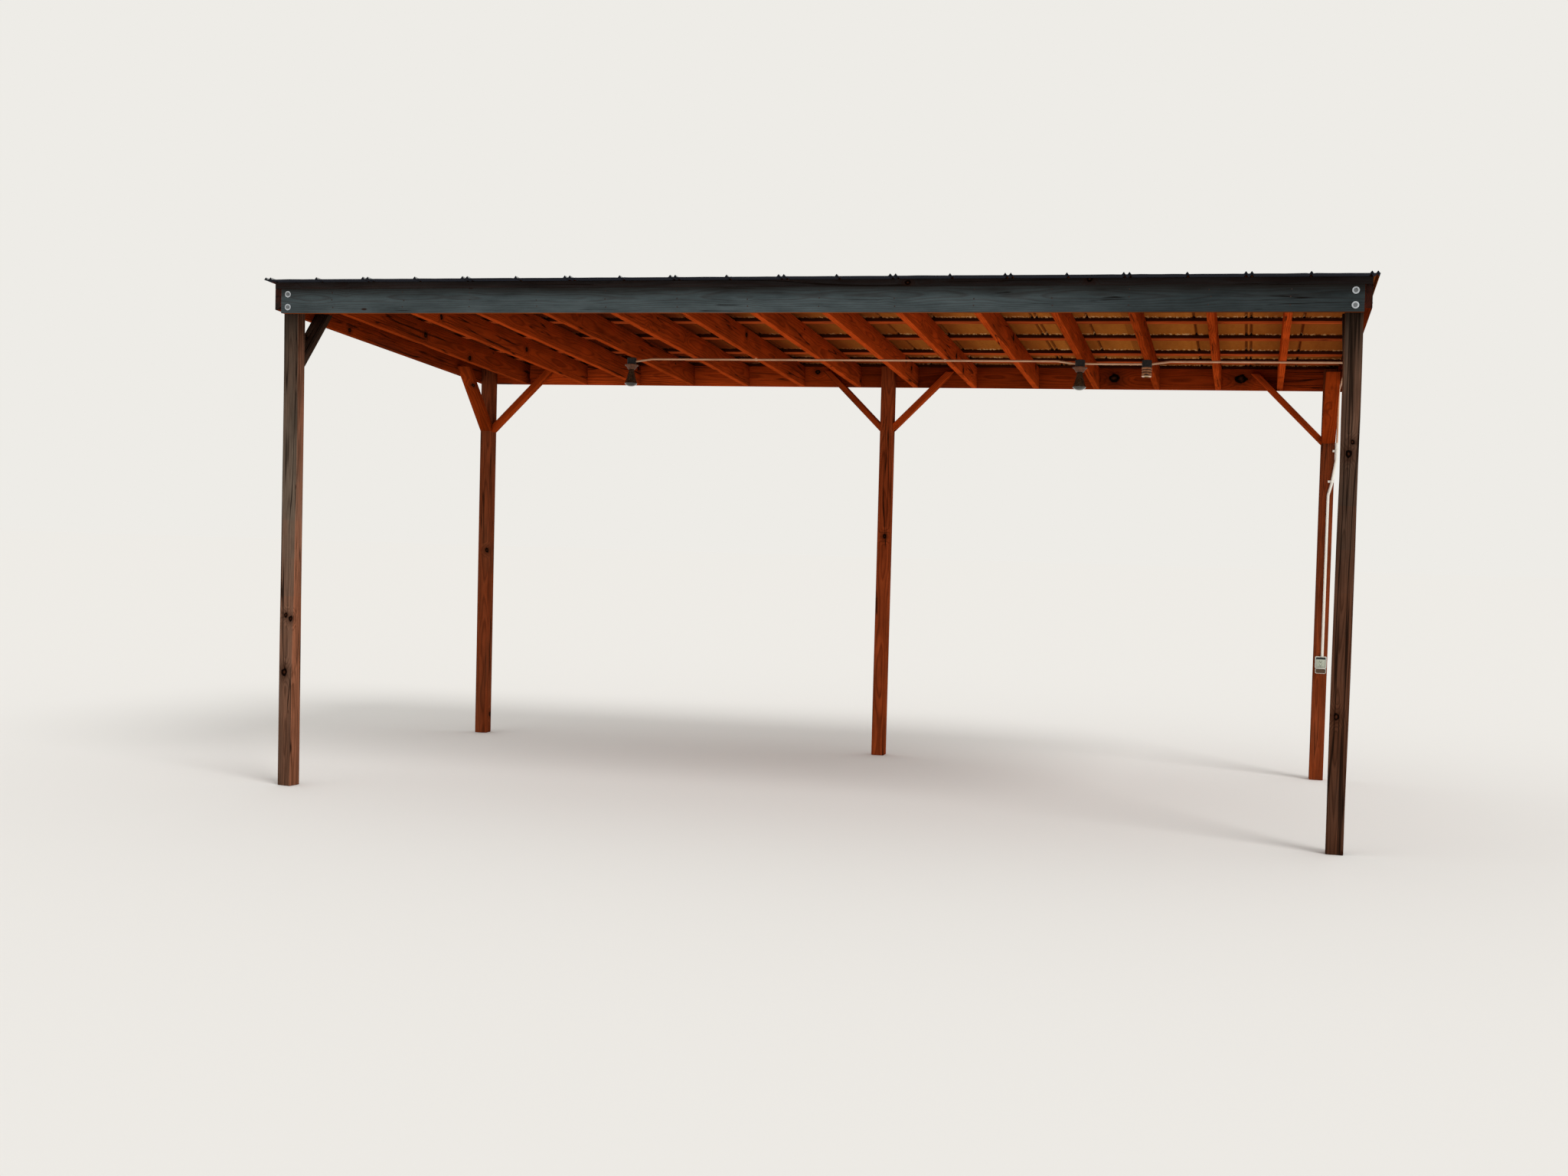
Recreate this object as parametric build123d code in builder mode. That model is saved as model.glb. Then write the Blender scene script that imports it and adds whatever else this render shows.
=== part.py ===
from build123d import *
import os
from math import atan, cos, degrees, radians, sin, tan

os.makedirs("parts", exist_ok=True)

# Lean-to carport in millimetres. The open front faces -Y and the roof falls towards +Y.
# The origin is on the ground, midway between the outer faces of the corner posts.

# Frame on its posts
frame_width = 6020.0          # over the outer faces of the corner posts
frame_depth = 2972.0          # over the outer faces of the front and back posts
header_height = 2760.0        # of its underside, above the ground
beam_drop = 192.0             # from the header's underside down to the back beam's
post_width = 89.0
middle_post_offset = 17.3     # to the right of the middle of its rafter bay

# Boards
board_thickness = 38.0
board_depth = 140.0
purlin_width = 89.0
purlin_thickness = 19.0
eave_strip_height = 38.0

# Inner rafters, by their centres
first_rafter_offset = 326.0   # from the outer face of the left posts
second_rafter_offset = 772.0
last_rafter_offset = 371.2    # from the outer face of the right posts
rafter_spacing = 406.4        # or the nearest that divides the width evenly
rafter_shifts = (20.0, 23.0, 20.0, 15.0, 7.0)  # to the right, of the last five in that row

# Purlins, by their front edges
first_purlin_offset = 558.0   # from the front of the front posts
purlin_spacing = 590.0        # or the nearest that divides the depth evenly
last_purlin_gap = 302.0       # between the two rearmost, from edge to edge
fourth_purlin_gap = 342.0     # and in front of those two

# Knee braces, boards laid flat across the posts
brace_width = 89.0
brace_angle = 45.0
front_brace_drop = 300.0      # from the underside above to the foot of the brace
corner_brace_drop = 358.0
back_brace_drop = 350.0
middle_brace_drop = 310.0
beam_brace_lap = 105.0        # how far a brace laps over the face of the beam
rafter_brace_lap = 50.0       # and over the inner face of an end rafter

# Crimped roof sheets
sheet_cover_width = 610.0     # or the nearest that divides the roof's width evenly
sheet_thickness = 1.5
sheet_margin = 27.0           # from a sheet's edge to the middle of its pair of crimps
crimp_spacing = 29.0          # between the two crimps of a pair
crimp_height = 12.0
crimp_width = 20.0
front_overhang = 80.0
back_overhang = 80.0
side_overhang = 29.0

# Lighting under the rafters
lighting_offset = 214.0       # behind the middle of the frame
first_lamp_shift = -25.0      # of the left lamp, from the middle of its rafter
lamp_box_diameter = 60.0
lamp_box_depth = 44.0
holder_flange_diameter = 90.0
holder_flange_depth = 8.0
holder_neck_diameter = 50.0
holder_depth = 30.0
open_holder_diameter = 60.0
open_holder_depth = 56.0
socket_diameter = 40.0
socket_depth = 30.0
bulb_diameter = 80.0
bulb_neck_diameter = 34.0
bulb_rim_depth = 100.0        # from the neck's end to the widest ring
bulb_length = 120.0

# Pipes
run_diameter = 13.0
run_bend_radius = 60.0
set_down_length = 110.0       # over which the run drops to enter a lamp box
run_clearance = 3.5           # beside the right back brace
drop_diameter = 18.0
drop_bend_radius = 80.0
drop_clearance = 18.0         # below the foot of that brace
lean_length = 250.0           # over which the drop leans in to the post
lean_inset = 16.0             # of its lower end, from the post's outer face
offset_length = 70.0
drop_inset = 34.0             # of the drop's lower part, from that face

# Outlet box on the right back post
outlet_top_height = 820.0
outlet_width = 68.0
outlet_height = 74.0
outlet_depth = 44.0
outlet_corner_radius = 5.0
outlet_inset = 43.0           # of its centre, from the post's outer face
plate_margin = 3.0
plate_thickness = 5.0
cover_length = 42.0
cover_thickness = 4.0
cover_angle = 35.0            # from level, as it hangs open

# Lines that several pieces share
right_face = frame_width / 2
left_face = -right_face
front_face = -frame_depth / 2
back_face = -front_face
eave_line = front_face - board_thickness
rear_line = back_face + board_thickness
outer_right = right_face + board_thickness
header_top = header_height + board_depth
beam_underside = header_height - beam_drop
beam_top = beam_underside + board_depth
eave_height = header_top + eave_strip_height
roof_slope = (eave_height - beam_top - purlin_thickness) / (back_face - eave_line)
roof_angle = atan(roof_slope)
roof_normal = (0, sin(roof_angle), cos(roof_angle))
brace_rise = tan(radians(brace_angle))
brace_cut = board_thickness / cos(radians(brace_angle))

# Rafter lines: one near the left end, then an even row
even_width = frame_width - second_rafter_offset - last_rafter_offset
rafter_bays = round(even_width / rafter_spacing)
even_rafters = [
    left_face + second_rafter_offset + bay * even_width / rafter_bays
    for bay in range(rafter_bays + 1)
]
for place, shift in enumerate(rafter_shifts, start=-len(rafter_shifts)):
    even_rafters[place] += shift
inner_rafters = [left_face + first_rafter_offset] + even_rafters
middle_bay = (rafter_bays - 1) // 2


def sheet_line(y):
    """Height of the underside of the roof sheets."""
    return eave_height - roof_slope * (y - eave_line)


def rafter_top(y):
    return sheet_line(y) - purlin_thickness / cos(roof_angle)


def rafter_underside(y):
    return rafter_top(y) - board_depth / cos(roof_angle)


def keep(part, name):
    part.label = name
    export_step(part, f"parts/{name}.step")


def outline(points):
    """A closed face through the points, on the current sketch plane."""
    Polygon(*points, align=None)


# Posts, the back ones as high as the beam
bay_centre = (even_rafters[middle_bay] + even_rafters[middle_bay + 1]) / 2
middle_post = bay_centre + middle_post_offset - post_width / 2
back_height = rafter_top(back_face)
posts = {
    "post_front_left": (left_face, front_face, header_top),
    "post_front_right": (right_face - post_width, front_face, header_top),
    "post_back_left": (left_face, back_face - post_width, back_height),
    "post_back_middle": (middle_post, back_face - post_width, back_height),
    "post_back_right": (right_face - post_width, back_face - post_width, back_height),
}
for name, (x, y, height) in posts.items():
    with BuildPart() as post:
        with BuildSketch():
            with Locations((x, y)):
                Rectangle(post_width, post_width, align=(Align.MIN, Align.MIN))
        extrude(amount=height)
    keep(post.part, name)

# Front header, bolted to the front of the posts
with BuildPart() as front_header:
    with BuildSketch(Plane.YZ):
        outline(
            [
                (eave_line, header_height),
                (front_face, header_height),
                (front_face, header_top),
                (eave_line, header_top),
            ]
        )
    extrude(amount=right_face, both=True)
keep(front_header.part, "front_header")

# Strip that brings the header up to the underside of the sheets
with BuildPart() as eave_strip:
    with BuildSketch(Plane.YZ):
        outline(
            [
                (eave_line, header_top),
                (front_face, header_top),
                (front_face, sheet_line(front_face)),
                (eave_line, eave_height),
            ]
        )
    extrude(amount=outer_right, both=True)
keep(eave_strip.part, "eave_strip")

# Back beam behind the back posts, its top bevelled to the roof
with BuildPart() as back_beam:
    with BuildSketch(Plane.YZ):
        outline(
            [
                (back_face, beam_underside),
                (rear_line, beam_underside),
                (rear_line, rafter_top(rear_line)),
                (back_face, rafter_top(back_face)),
            ]
        )
    extrude(amount=right_face, both=True)
keep(back_beam.part, "back_beam")

# Rafters: the inner ones stand between the header and the beam
inner_outline = [
    (front_face, rafter_underside(front_face)),
    (back_face, rafter_underside(back_face)),
    (back_face, rafter_top(back_face)),
    (front_face, rafter_top(front_face)),
]
for number, x in enumerate(inner_rafters, start=1):
    with BuildPart() as rafter:
        with BuildSketch(Plane.YZ.offset(x)):
            outline(inner_outline)
        extrude(amount=board_thickness / 2, both=True)
    keep(rafter.part, f"rafter_{number:02d}")

# The end rafters pass outside the posts and are notched for the eave strip
end_outline = [
    (eave_line, rafter_underside(eave_line)),
    (rear_line, rafter_underside(rear_line)),
    (rear_line, rafter_top(rear_line)),
    (front_face, rafter_top(front_face)),
    (front_face, header_top),
    (eave_line, header_top),
]
for name, x in (("end_rafter_left", left_face - board_thickness), ("end_rafter_right", right_face)):
    with BuildPart() as end_rafter:
        with BuildSketch(Plane.YZ.offset(x)):
            outline(end_outline)
        extrude(amount=board_thickness)
    keep(end_rafter.part, name)

# Purlins lie flat on the rafters, and the last one on the back beam
even_start = front_face + first_purlin_offset
even_depth = back_face - last_purlin_gap - fourth_purlin_gap - even_start
purlin_bays = round(even_depth / purlin_spacing)
purlin_lines = [even_start + bay * even_depth / purlin_bays for bay in range(purlin_bays + 1)]
purlin_lines += [back_face - last_purlin_gap, back_face]
for number, y in enumerate(purlin_lines, start=1):
    top_plane = Plane(origin=(0, y, sheet_line(y)), x_dir=(1, 0, 0), z_dir=roof_normal)
    with BuildPart() as purlin:
        with BuildSketch(top_plane):
            Rectangle(2 * outer_right, purlin_width, align=(Align.CENTER, Align.MIN))
        extrude(amount=-purlin_thickness)
    keep(purlin.part, f"purlin_{number}")

# Braces from the back posts to the beam
brace_top = beam_underside + beam_brace_lap
beam_braces = {
    "beam_brace_left": (left_face + post_width, 1, corner_brace_drop),
    "beam_brace_middle_left": (middle_post, -1, middle_brace_drop),
    "beam_brace_middle_right": (middle_post + post_width, 1, middle_brace_drop),
    "beam_brace_right": (right_face - post_width, -1, corner_brace_drop),
}
for name, (x, side, drop) in beam_braces.items():
    foot = beam_underside - drop
    heel = foot + brace_cut
    with BuildPart() as beam_brace:
        with BuildSketch(Plane.XZ.offset(-back_face)):
            outline(
                [
                    (x, foot),
                    (x + side * (brace_top - foot) / brace_rise, brace_top),
                    (x + side * (brace_top - heel) / brace_rise, brace_top),
                    (x, heel),
                ]
            )
        extrude(amount=brace_width)
    keep(beam_brace.part, name)


def side_brace(x, y, side, underside, drop):
    """Brace in a side frame, from a post's face to the inner face of the end rafter."""
    foot = underside - drop
    heel = foot + brace_cut
    reach = (rafter_underside(y) + rafter_brace_lap - foot) / (brace_rise + side * roof_slope)
    top = foot + reach * brace_rise
    with BuildPart() as brace:
        with BuildSketch(Plane.YZ.offset(x)):
            outline(
                [
                    (y, foot),
                    (y + side * reach, top),
                    (y + side * (top - heel) / brace_rise, top),
                    (y, heel),
                ]
            )
        extrude(amount=brace_width)
    return brace.part


for hand, x in (("left", left_face), ("right", right_face - brace_width)):
    front = side_brace(x, front_face + post_width, 1, header_height, front_brace_drop)
    keep(front, f"side_brace_front_{hand}")
    back = side_brace(x, back_face - post_width, -1, beam_underside, back_brace_drop)
    keep(back, f"side_brace_back_{hand}")

# Roof sheets: a pair of crimps at the left edge, one in the middle of the cover
sheet_left = -outer_right - side_overhang
covered_width = -2 * sheet_left - 2 * sheet_margin
sheet_count = round(covered_width / sheet_cover_width)
sheet_cover = covered_width / sheet_count
sheet_back = rear_line + back_overhang
sheet_length = (sheet_back - eave_line + front_overhang) / cos(roof_angle)
section_plane = Plane(
    origin=(0, sheet_back, sheet_line(sheet_back)),
    x_dir=(1, 0, 0),
    z_dir=(0, -cos(roof_angle), sin(roof_angle)),
)


def crimped_line(start, end, crimps, lift):
    """Points of the sheet's section from start to end, raised by lift."""
    points = [(start, lift)]
    for crimp in crimps:
        points.append((crimp - crimp_width / 2, lift))
        points.append((crimp, lift + crimp_height))
        points.append((crimp + crimp_width / 2, lift))
    points.append((end, lift))
    return points


for number in range(sheet_count):
    start = sheet_left + number * sheet_cover
    end = start + sheet_cover
    pair = start + sheet_margin
    crimps = [pair - crimp_spacing / 2, pair + crimp_spacing / 2, pair + sheet_cover / 2]
    if number == sheet_count - 1:
        end += 2 * sheet_margin
        last_pair = pair + sheet_cover
        crimps += [last_pair - crimp_spacing / 2, last_pair + crimp_spacing / 2]
    under = crimped_line(start, end, crimps, 0)
    over = crimped_line(start, end, crimps, sheet_thickness)
    with BuildPart() as roof_sheet:
        with BuildSketch(section_plane):
            outline(under + over[::-1])
        extrude(amount=sheet_length)
    keep(roof_sheet.part, f"roof_sheet_{number + 1:02d}")

# Lamp boxes hang under three rafters, in line across the roof
lighting_y = lighting_offset
lamp_lines = [even_rafters[2] + first_lamp_shift, even_rafters[-4], even_rafters[-3]]


def ceiling_plane(x, depth):
    """Plane parallel to the roof and facing up, this deep under a rafter."""
    below = Vector(*roof_normal) * depth
    origin = Vector(x, lighting_y, rafter_underside(lighting_y)) - below
    return Plane(origin=origin, x_dir=(1, 0, 0), z_dir=roof_normal)


lamp_boxes = []
for x in lamp_lines:
    with BuildPart() as lamp_box:
        with BuildSketch(ceiling_plane(x, lamp_box_depth)):
            Circle(lamp_box_diameter / 2)
        extrude(amount=lamp_box_depth)
    lamp_boxes.append(lamp_box.part)
keep(Compound(children=lamp_boxes), "lamp_boxes")

# Two lampholders taper to a bulb, the right one is an empty socket
lampholders = []
flange_bottom = lamp_box_depth + holder_flange_depth
holder_bottom = lamp_box_depth + holder_depth
for x in lamp_lines[:2]:
    with BuildPart() as lampholder:
        with BuildSketch(ceiling_plane(x, flange_bottom)):
            Circle(holder_flange_diameter / 2)
        extrude(amount=holder_flange_depth)
        with BuildSketch(ceiling_plane(x, flange_bottom)):
            Circle(holder_flange_diameter / 2 - holder_flange_depth)
        with BuildSketch(ceiling_plane(x, holder_bottom)):
            Circle(holder_neck_diameter / 2)
        loft()
    lampholders.append(lampholder.part)
with BuildPart() as open_lampholder:
    with BuildSketch(ceiling_plane(lamp_lines[2], lamp_box_depth + open_holder_depth)):
        Circle(open_holder_diameter / 2)
    extrude(amount=open_holder_depth)
    with BuildSketch(ceiling_plane(lamp_lines[2], lamp_box_depth + open_holder_depth)):
        Circle(socket_diameter / 2)
    extrude(amount=socket_depth, mode=Mode.SUBTRACT)
lampholders.append(open_lampholder.part)
keep(Compound(children=lampholders), "lampholders")

# Flood bulbs, turned about the lampholders' axes
bulbs = []
wide = bulb_diameter / 2
for x in lamp_lines[:2]:
    seat = ceiling_plane(x, holder_bottom)
    with BuildPart() as bulb:
        with BuildSketch(Plane(origin=seat.origin, x_dir=(1, 0, 0), z_dir=seat.y_dir)):
            with BuildLine():
                neck = bulb_neck_diameter / 2
                Line((0, 0), (neck, 0))
                rim = bulb_rim_depth
                flare = (0.8 * wide, 0.6 * rim)
                Bezier((neck, 0), (neck, 0.4 * rim), flare, (wide, rim))
                Bezier((wide, rim), (0.7 * wide, bulb_length), (0, bulb_length))
                Line((0, bulb_length), (0, 0))
            make_face()
        revolve(axis=Axis(seat.origin, seat.z_dir))
    bulbs.append(bulb.part)
keep(Compound(children=bulbs), "flood_bulbs")


def run_centre(y):
    """Height of the run's axis when it touches the rafters."""
    return rafter_underside(y) - run_diameter / 2 / cos(roof_angle)


def pipe(points, diameter, bend):
    """A round pipe along the points, with its corners bent."""
    with BuildPart() as piece:
        with BuildLine() as path:
            if len(points) > 2:
                FilletPolyline(*points, radius=bend)
            else:
                Polyline(*points)
        with BuildSketch(Plane(origin=path.line @ 0, z_dir=path.line % 0)):
            Circle(diameter / 2)
        sweep()
    return piece.part


# The run goes from box to box, straight where they are near, then along the right end rafter
# and down beside the brace
box_height = rafter_underside(lighting_y) - lamp_box_depth / 2 / cos(roof_angle)
run_height = run_centre(lighting_y)
run_x = right_face + run_diameter / 2 + run_clearance
drop_y = back_face - post_width - drop_diameter / 2
drop_top = beam_underside - back_brace_drop - drop_clearance
box_radius = lamp_box_diameter / 2
set_down = box_radius + set_down_length
lengths = []
for left, right in zip(lamp_lines, lamp_lines[1:]):
    points = [(left, lighting_y, box_height), (right, lighting_y, box_height)]
    if right - left > 4 * set_down:
        points[1:1] = [
            (left + box_radius, lighting_y, box_height),
            (left + set_down, lighting_y, run_height),
            (right - set_down, lighting_y, run_height),
            (right - box_radius, lighting_y, box_height),
        ]
    lengths.append(points)
last = lamp_lines[-1]
lengths.append(
    [
        (last, lighting_y, box_height),
        (last + box_radius, lighting_y, box_height),
        (last + set_down, lighting_y, run_height),
        (run_x, lighting_y, run_height),
        (run_x, drop_y, run_centre(drop_y)),
        (run_x, drop_y, drop_top),
    ]
)
runs = []
for points in lengths:
    run = pipe(points, run_diameter, run_bend_radius)
    for lamp_box in lamp_boxes:
        run -= lamp_box
    runs.append(run)
keep(Compound(children=runs), "conduit_run")

# The wider drop leans in to the post and offsets to the outlet
lean_top = drop_top - drop_bend_radius
offset_top = drop_top - lean_length
drop_x = right_face - drop_inset
drop_points = [
    (run_x, drop_y, drop_top),
    (run_x, drop_y, lean_top),
    (right_face - lean_inset, drop_y, offset_top),
    (drop_x, drop_y, offset_top - offset_length),
    (drop_x, drop_y, outlet_top_height),
]
keep(pipe(drop_points, drop_diameter, drop_bend_radius), "conduit_drop")

# Outlet box with its cover hanging open
outlet_x = right_face - outlet_inset
outlet_back = back_face - post_width
outlet_z = outlet_top_height - outlet_height / 2
with BuildPart() as outlet_box:
    with BuildSketch(Plane.XZ.offset(-outlet_back)):
        with Locations((outlet_x, outlet_z)):
            RectangleRounded(outlet_width, outlet_height, outlet_corner_radius)
    extrude(amount=outlet_depth)
    with BuildSketch(Plane.XZ.offset(outlet_depth - outlet_back)):
        with Locations((outlet_x, outlet_z)):
            RectangleRounded(
                outlet_width + 2 * plate_margin,
                outlet_height + 2 * plate_margin,
                outlet_corner_radius + plate_margin,
            )
    extrude(amount=plate_thickness)
    hinge_y = outlet_back - outlet_depth - plate_thickness
    hinge_z = outlet_top_height - outlet_height - plate_margin + cover_thickness
    swing = radians(cover_angle)
    cover_plane = Plane(
        origin=(outlet_x, hinge_y, hinge_z),
        x_dir=(1, 0, 0),
        z_dir=(0, -cos(swing), -sin(swing)),
    )
    with BuildSketch(cover_plane):
        with Locations((0, -cover_length / 2)):
            Rectangle(outlet_width, cover_length)
    extrude(amount=cover_thickness)
keep(outlet_box.part, "outlet_box")
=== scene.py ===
# %% [markdown]
# # An open carport of treated pine with a crimped metal roof
#
# The carport stands on five posts. A header joins the front posts, a beam joins the back ones,
# and rafters, flat purlins and steel sheets make a roof that falls gently to the back. The packed
# model gives every board its size and place. This lesson dresses it: boards get eased edges and a
# grain that runs along them, and the bolts, nails, screws and fittings are added.

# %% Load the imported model
import math
import random

import bmesh
import bpy
from mathutils import Matrix, Vector, noise


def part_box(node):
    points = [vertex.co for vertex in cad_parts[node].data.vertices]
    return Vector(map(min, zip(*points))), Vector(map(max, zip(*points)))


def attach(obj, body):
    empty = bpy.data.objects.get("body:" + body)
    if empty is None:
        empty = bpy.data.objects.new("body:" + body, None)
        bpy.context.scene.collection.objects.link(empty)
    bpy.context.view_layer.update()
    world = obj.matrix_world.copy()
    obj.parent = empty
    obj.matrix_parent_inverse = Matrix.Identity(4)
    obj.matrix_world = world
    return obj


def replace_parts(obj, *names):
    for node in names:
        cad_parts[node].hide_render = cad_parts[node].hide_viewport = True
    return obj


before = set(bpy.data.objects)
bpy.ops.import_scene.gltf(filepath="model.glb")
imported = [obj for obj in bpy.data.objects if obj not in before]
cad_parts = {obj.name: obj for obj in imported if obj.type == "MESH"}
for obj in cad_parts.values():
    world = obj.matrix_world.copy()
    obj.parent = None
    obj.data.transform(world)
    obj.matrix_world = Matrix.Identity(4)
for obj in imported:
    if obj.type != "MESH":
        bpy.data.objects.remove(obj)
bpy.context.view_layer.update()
MM = 0.001
print(len(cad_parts), "pieces loaded")

# %% [markdown]
# ## Small helpers
#
# Colours are written as sRGB hex values, because that is how a paint chart or a photograph gives
# them, and one function turns them into the linear values that the shaders need. Nodes could be
# placed by hand in the shader editor, but in a script one function adds a node with its settings
# and links in one call, so that each material reads as a short list. Pattern sizes are written in
# millimetres, as a ruler gives them.

# %% Colours and shader nodes
def linear(hex_colour):
    """An sRGB hex colour as linear red, green, blue and alpha."""
    channels = [int(hex_colour[i:i + 2], 16) / 255 for i in (1, 3, 5)]
    return [c / 12.92 if c <= 0.04045 else ((c + 0.055) / 1.055) ** 2.4 for c in channels] + [1.0]


def add(tree, kind, inputs=(), output=0, stops=(), **settings):
    """Adds a node with its settings and links, and gives back one of its outputs.

    inputs are numbers, hex colours or sockets to link, in order, or by name in a dictionary.
    stops are a colour ramp's pairs of position and colour, which may be a plain grey.
    """
    made = tree.nodes.new("ShaderNode" + kind)
    for name, value in settings.items():
        setattr(made, name, value)
    for name, value in inputs.items() if isinstance(inputs, dict) else enumerate(inputs):
        if isinstance(value, bpy.types.NodeSocket):
            tree.links.new(value, made.inputs[name])
        else:
            made.inputs[name].default_value = linear(value) if isinstance(value, str) else value
    if stops:
        band = made.color_ramp.elements
        while len(band) < len(stops):
            band.new(0.5)
        for element, (position, colour) in zip(band, stops):
            element.position = position
            element.color = linear(colour) if isinstance(colour, str) else (colour,) * 3 + (1,)
    return made.outputs[output]


def start_material(name):
    """A new material with its shader, ready for the pattern nodes."""
    made = bpy.data.materials.new(name)
    made.use_nodes = True
    return made, made.node_tree, made.node_tree.nodes["Principled BSDF"]


def per_metre(along, across):
    """How often a pattern repeats in a metre, from its size in mm along X and across it."""
    return 1 / (along * MM), 1 / (across * MM), 1 / (across * MM)


print("a middle grey is", round(linear("#808080")[0], 3), "in linear light")

# %% [markdown]
# ## Treated pine
#
# Posts, header, rafters and braces are sawn southern pine, pressure treated and left bare. Under
# the roof it keeps a deep red-brown. Where rain and sun reach it, it turns grey and opens fine
# cracks along the grain. Dark late wood comes every 5 to 10 mm, and a knot every half metre or so.
#
# A picture of wood could be laid on each face, but its lines would break at every corner. Here the
# wood is solid: the pattern is worked out in the board's own space, as if it was sawn from a log.
# Every board mesh carries its own values for this one set of nodes. "grain" is the place in metres,
# with X along the board and the pith, the heart of the log, on the X axis. A ring is then simply a
# distance from that axis, so rings draw long arches on wide faces and straight lines on edges.
# "knot_1" to "knot_3" are the middles of three knots and "knot_sizes" their radii, "tone"
# multiplies the colour and on some boards also holds painted shade and painted light, and "weather"
# says how grey each face is.

# %% Noises, knots and year rings
RING = 8 * MM
KNOT = "#2a140b"


def grain_noises(tree, grain, crack_lines):
    """Noises drawn out along the grain, from their length and width in millimetres.

    Real fibres are finer, and are drawn 2.4 mm wide so that they show.
    """
    noises = {}
    for use, length, width, detail, rough in (
            ("knot rims", 33.333, 16.667, 2.0, 0.55), ("ring drift", 833.33, 166.67, 2.0, 0.55),
            ("fibres", 200, 2.4, 3.0, 0.55), ("patches", 714.29, 111.11, 4.0, 0.55),
            ("blotches", 333.33, 71.429, 5.0, 0.65),
            ("cracks", 1428.6, 1000 / crack_lines, 1.0, 0.55)):
        space = add(tree, "VectorMath", (grain, per_metre(length, width)), operation="MULTIPLY")
        noises[use] = add(tree, "TexNoise", {"Vector": space, "Scale": 1.0, "Detail": detail,
                                             "Roughness": rough})
    return noises


def nearest_knot(tree, grain, rims):
    """Distance from the nearest knot in knot radii, so that 1 is its ragged edge."""
    sizes = add(tree, "Attribute", (), "Vector", attribute_name="knot_sizes")
    away = 99.0
    for number, size in enumerate(add(tree, "SeparateXYZ", (sizes,)).node.outputs, 1):
        middle = add(tree, "Attribute", (), "Vector", attribute_name=f"knot_{number}")
        step = add(tree, "VectorMath", (grain, middle), operation="SUBTRACT")
        step = add(tree, "VectorMath", (step, (0.75, 1.0, 1.0)), operation="MULTIPLY")
        length = add(tree, "VectorMath", (step,), "Value", operation="LENGTH")
        radii = add(tree, "Math", (length, size), operation="DIVIDE")
        away = add(tree, "Math", (radii, away), operation="MINIMUM")
    uneven = add(tree, "MapRange", (rims, 0.3, 0.7, -0.25, 0.25))
    return add(tree, "Math", (away, uneven), operation="ADD")


def year_rings(tree, grain, drift, away):
    """Late wood from 0 to 1: rings round the pith, uneven, and pushed aside by the knots."""
    across = add(tree, "VectorMath", (grain, (0.0, 1.0, 1.0)), operation="MULTIPLY")
    radius = add(tree, "VectorMath", (across,), "Value", operation="LENGTH")
    wander = add(tree, "MapRange", (drift, 0.2, 0.8, -18 * MM, 18 * MM))
    swerve = add(tree, "MapRange", (away, 0.0, 5.0, 22 * MM, 0.0),
                 interpolation_type="SMOOTHSTEP")
    for push in (wander, swerve):
        radius = add(tree, "Math", (radius, push), operation="ADD")
    ring = add(tree, "Math", (radius, 1 / RING), operation="MULTIPLY")
    ring = add(tree, "Math", (ring,), operation="FRACT")
    return add(tree, "ValToRGB", (ring,), stops=(
        (0.0, 0.0), (0.45, 0.15), (0.82, 1.0), (0.97, 0.25), (1.0, 0.0)))


print("year rings every", round(RING / MM), "mm")

# %% [markdown]
# The colour is laid on in coats, each over the last, the way that a board ages: late wood and
# fibres first, then greying, the tone, which on some boards also carries painted shade and light,
# damp stains with painted shade near the top where a board asks for them, cracks, and the knots
# with their dark rims in a halo of stained wood. Mixing every pair by hand would repeat the same
# node many times, so the coats are a list. A rough-sawn face scatters light evenly, so the wood has
# a high roughness and no gloss.

# %% The pine material
OVER, TINT = "MIX", "MULTIPLY"
PIN_KNOTS = 384.62, 142.86


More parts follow.
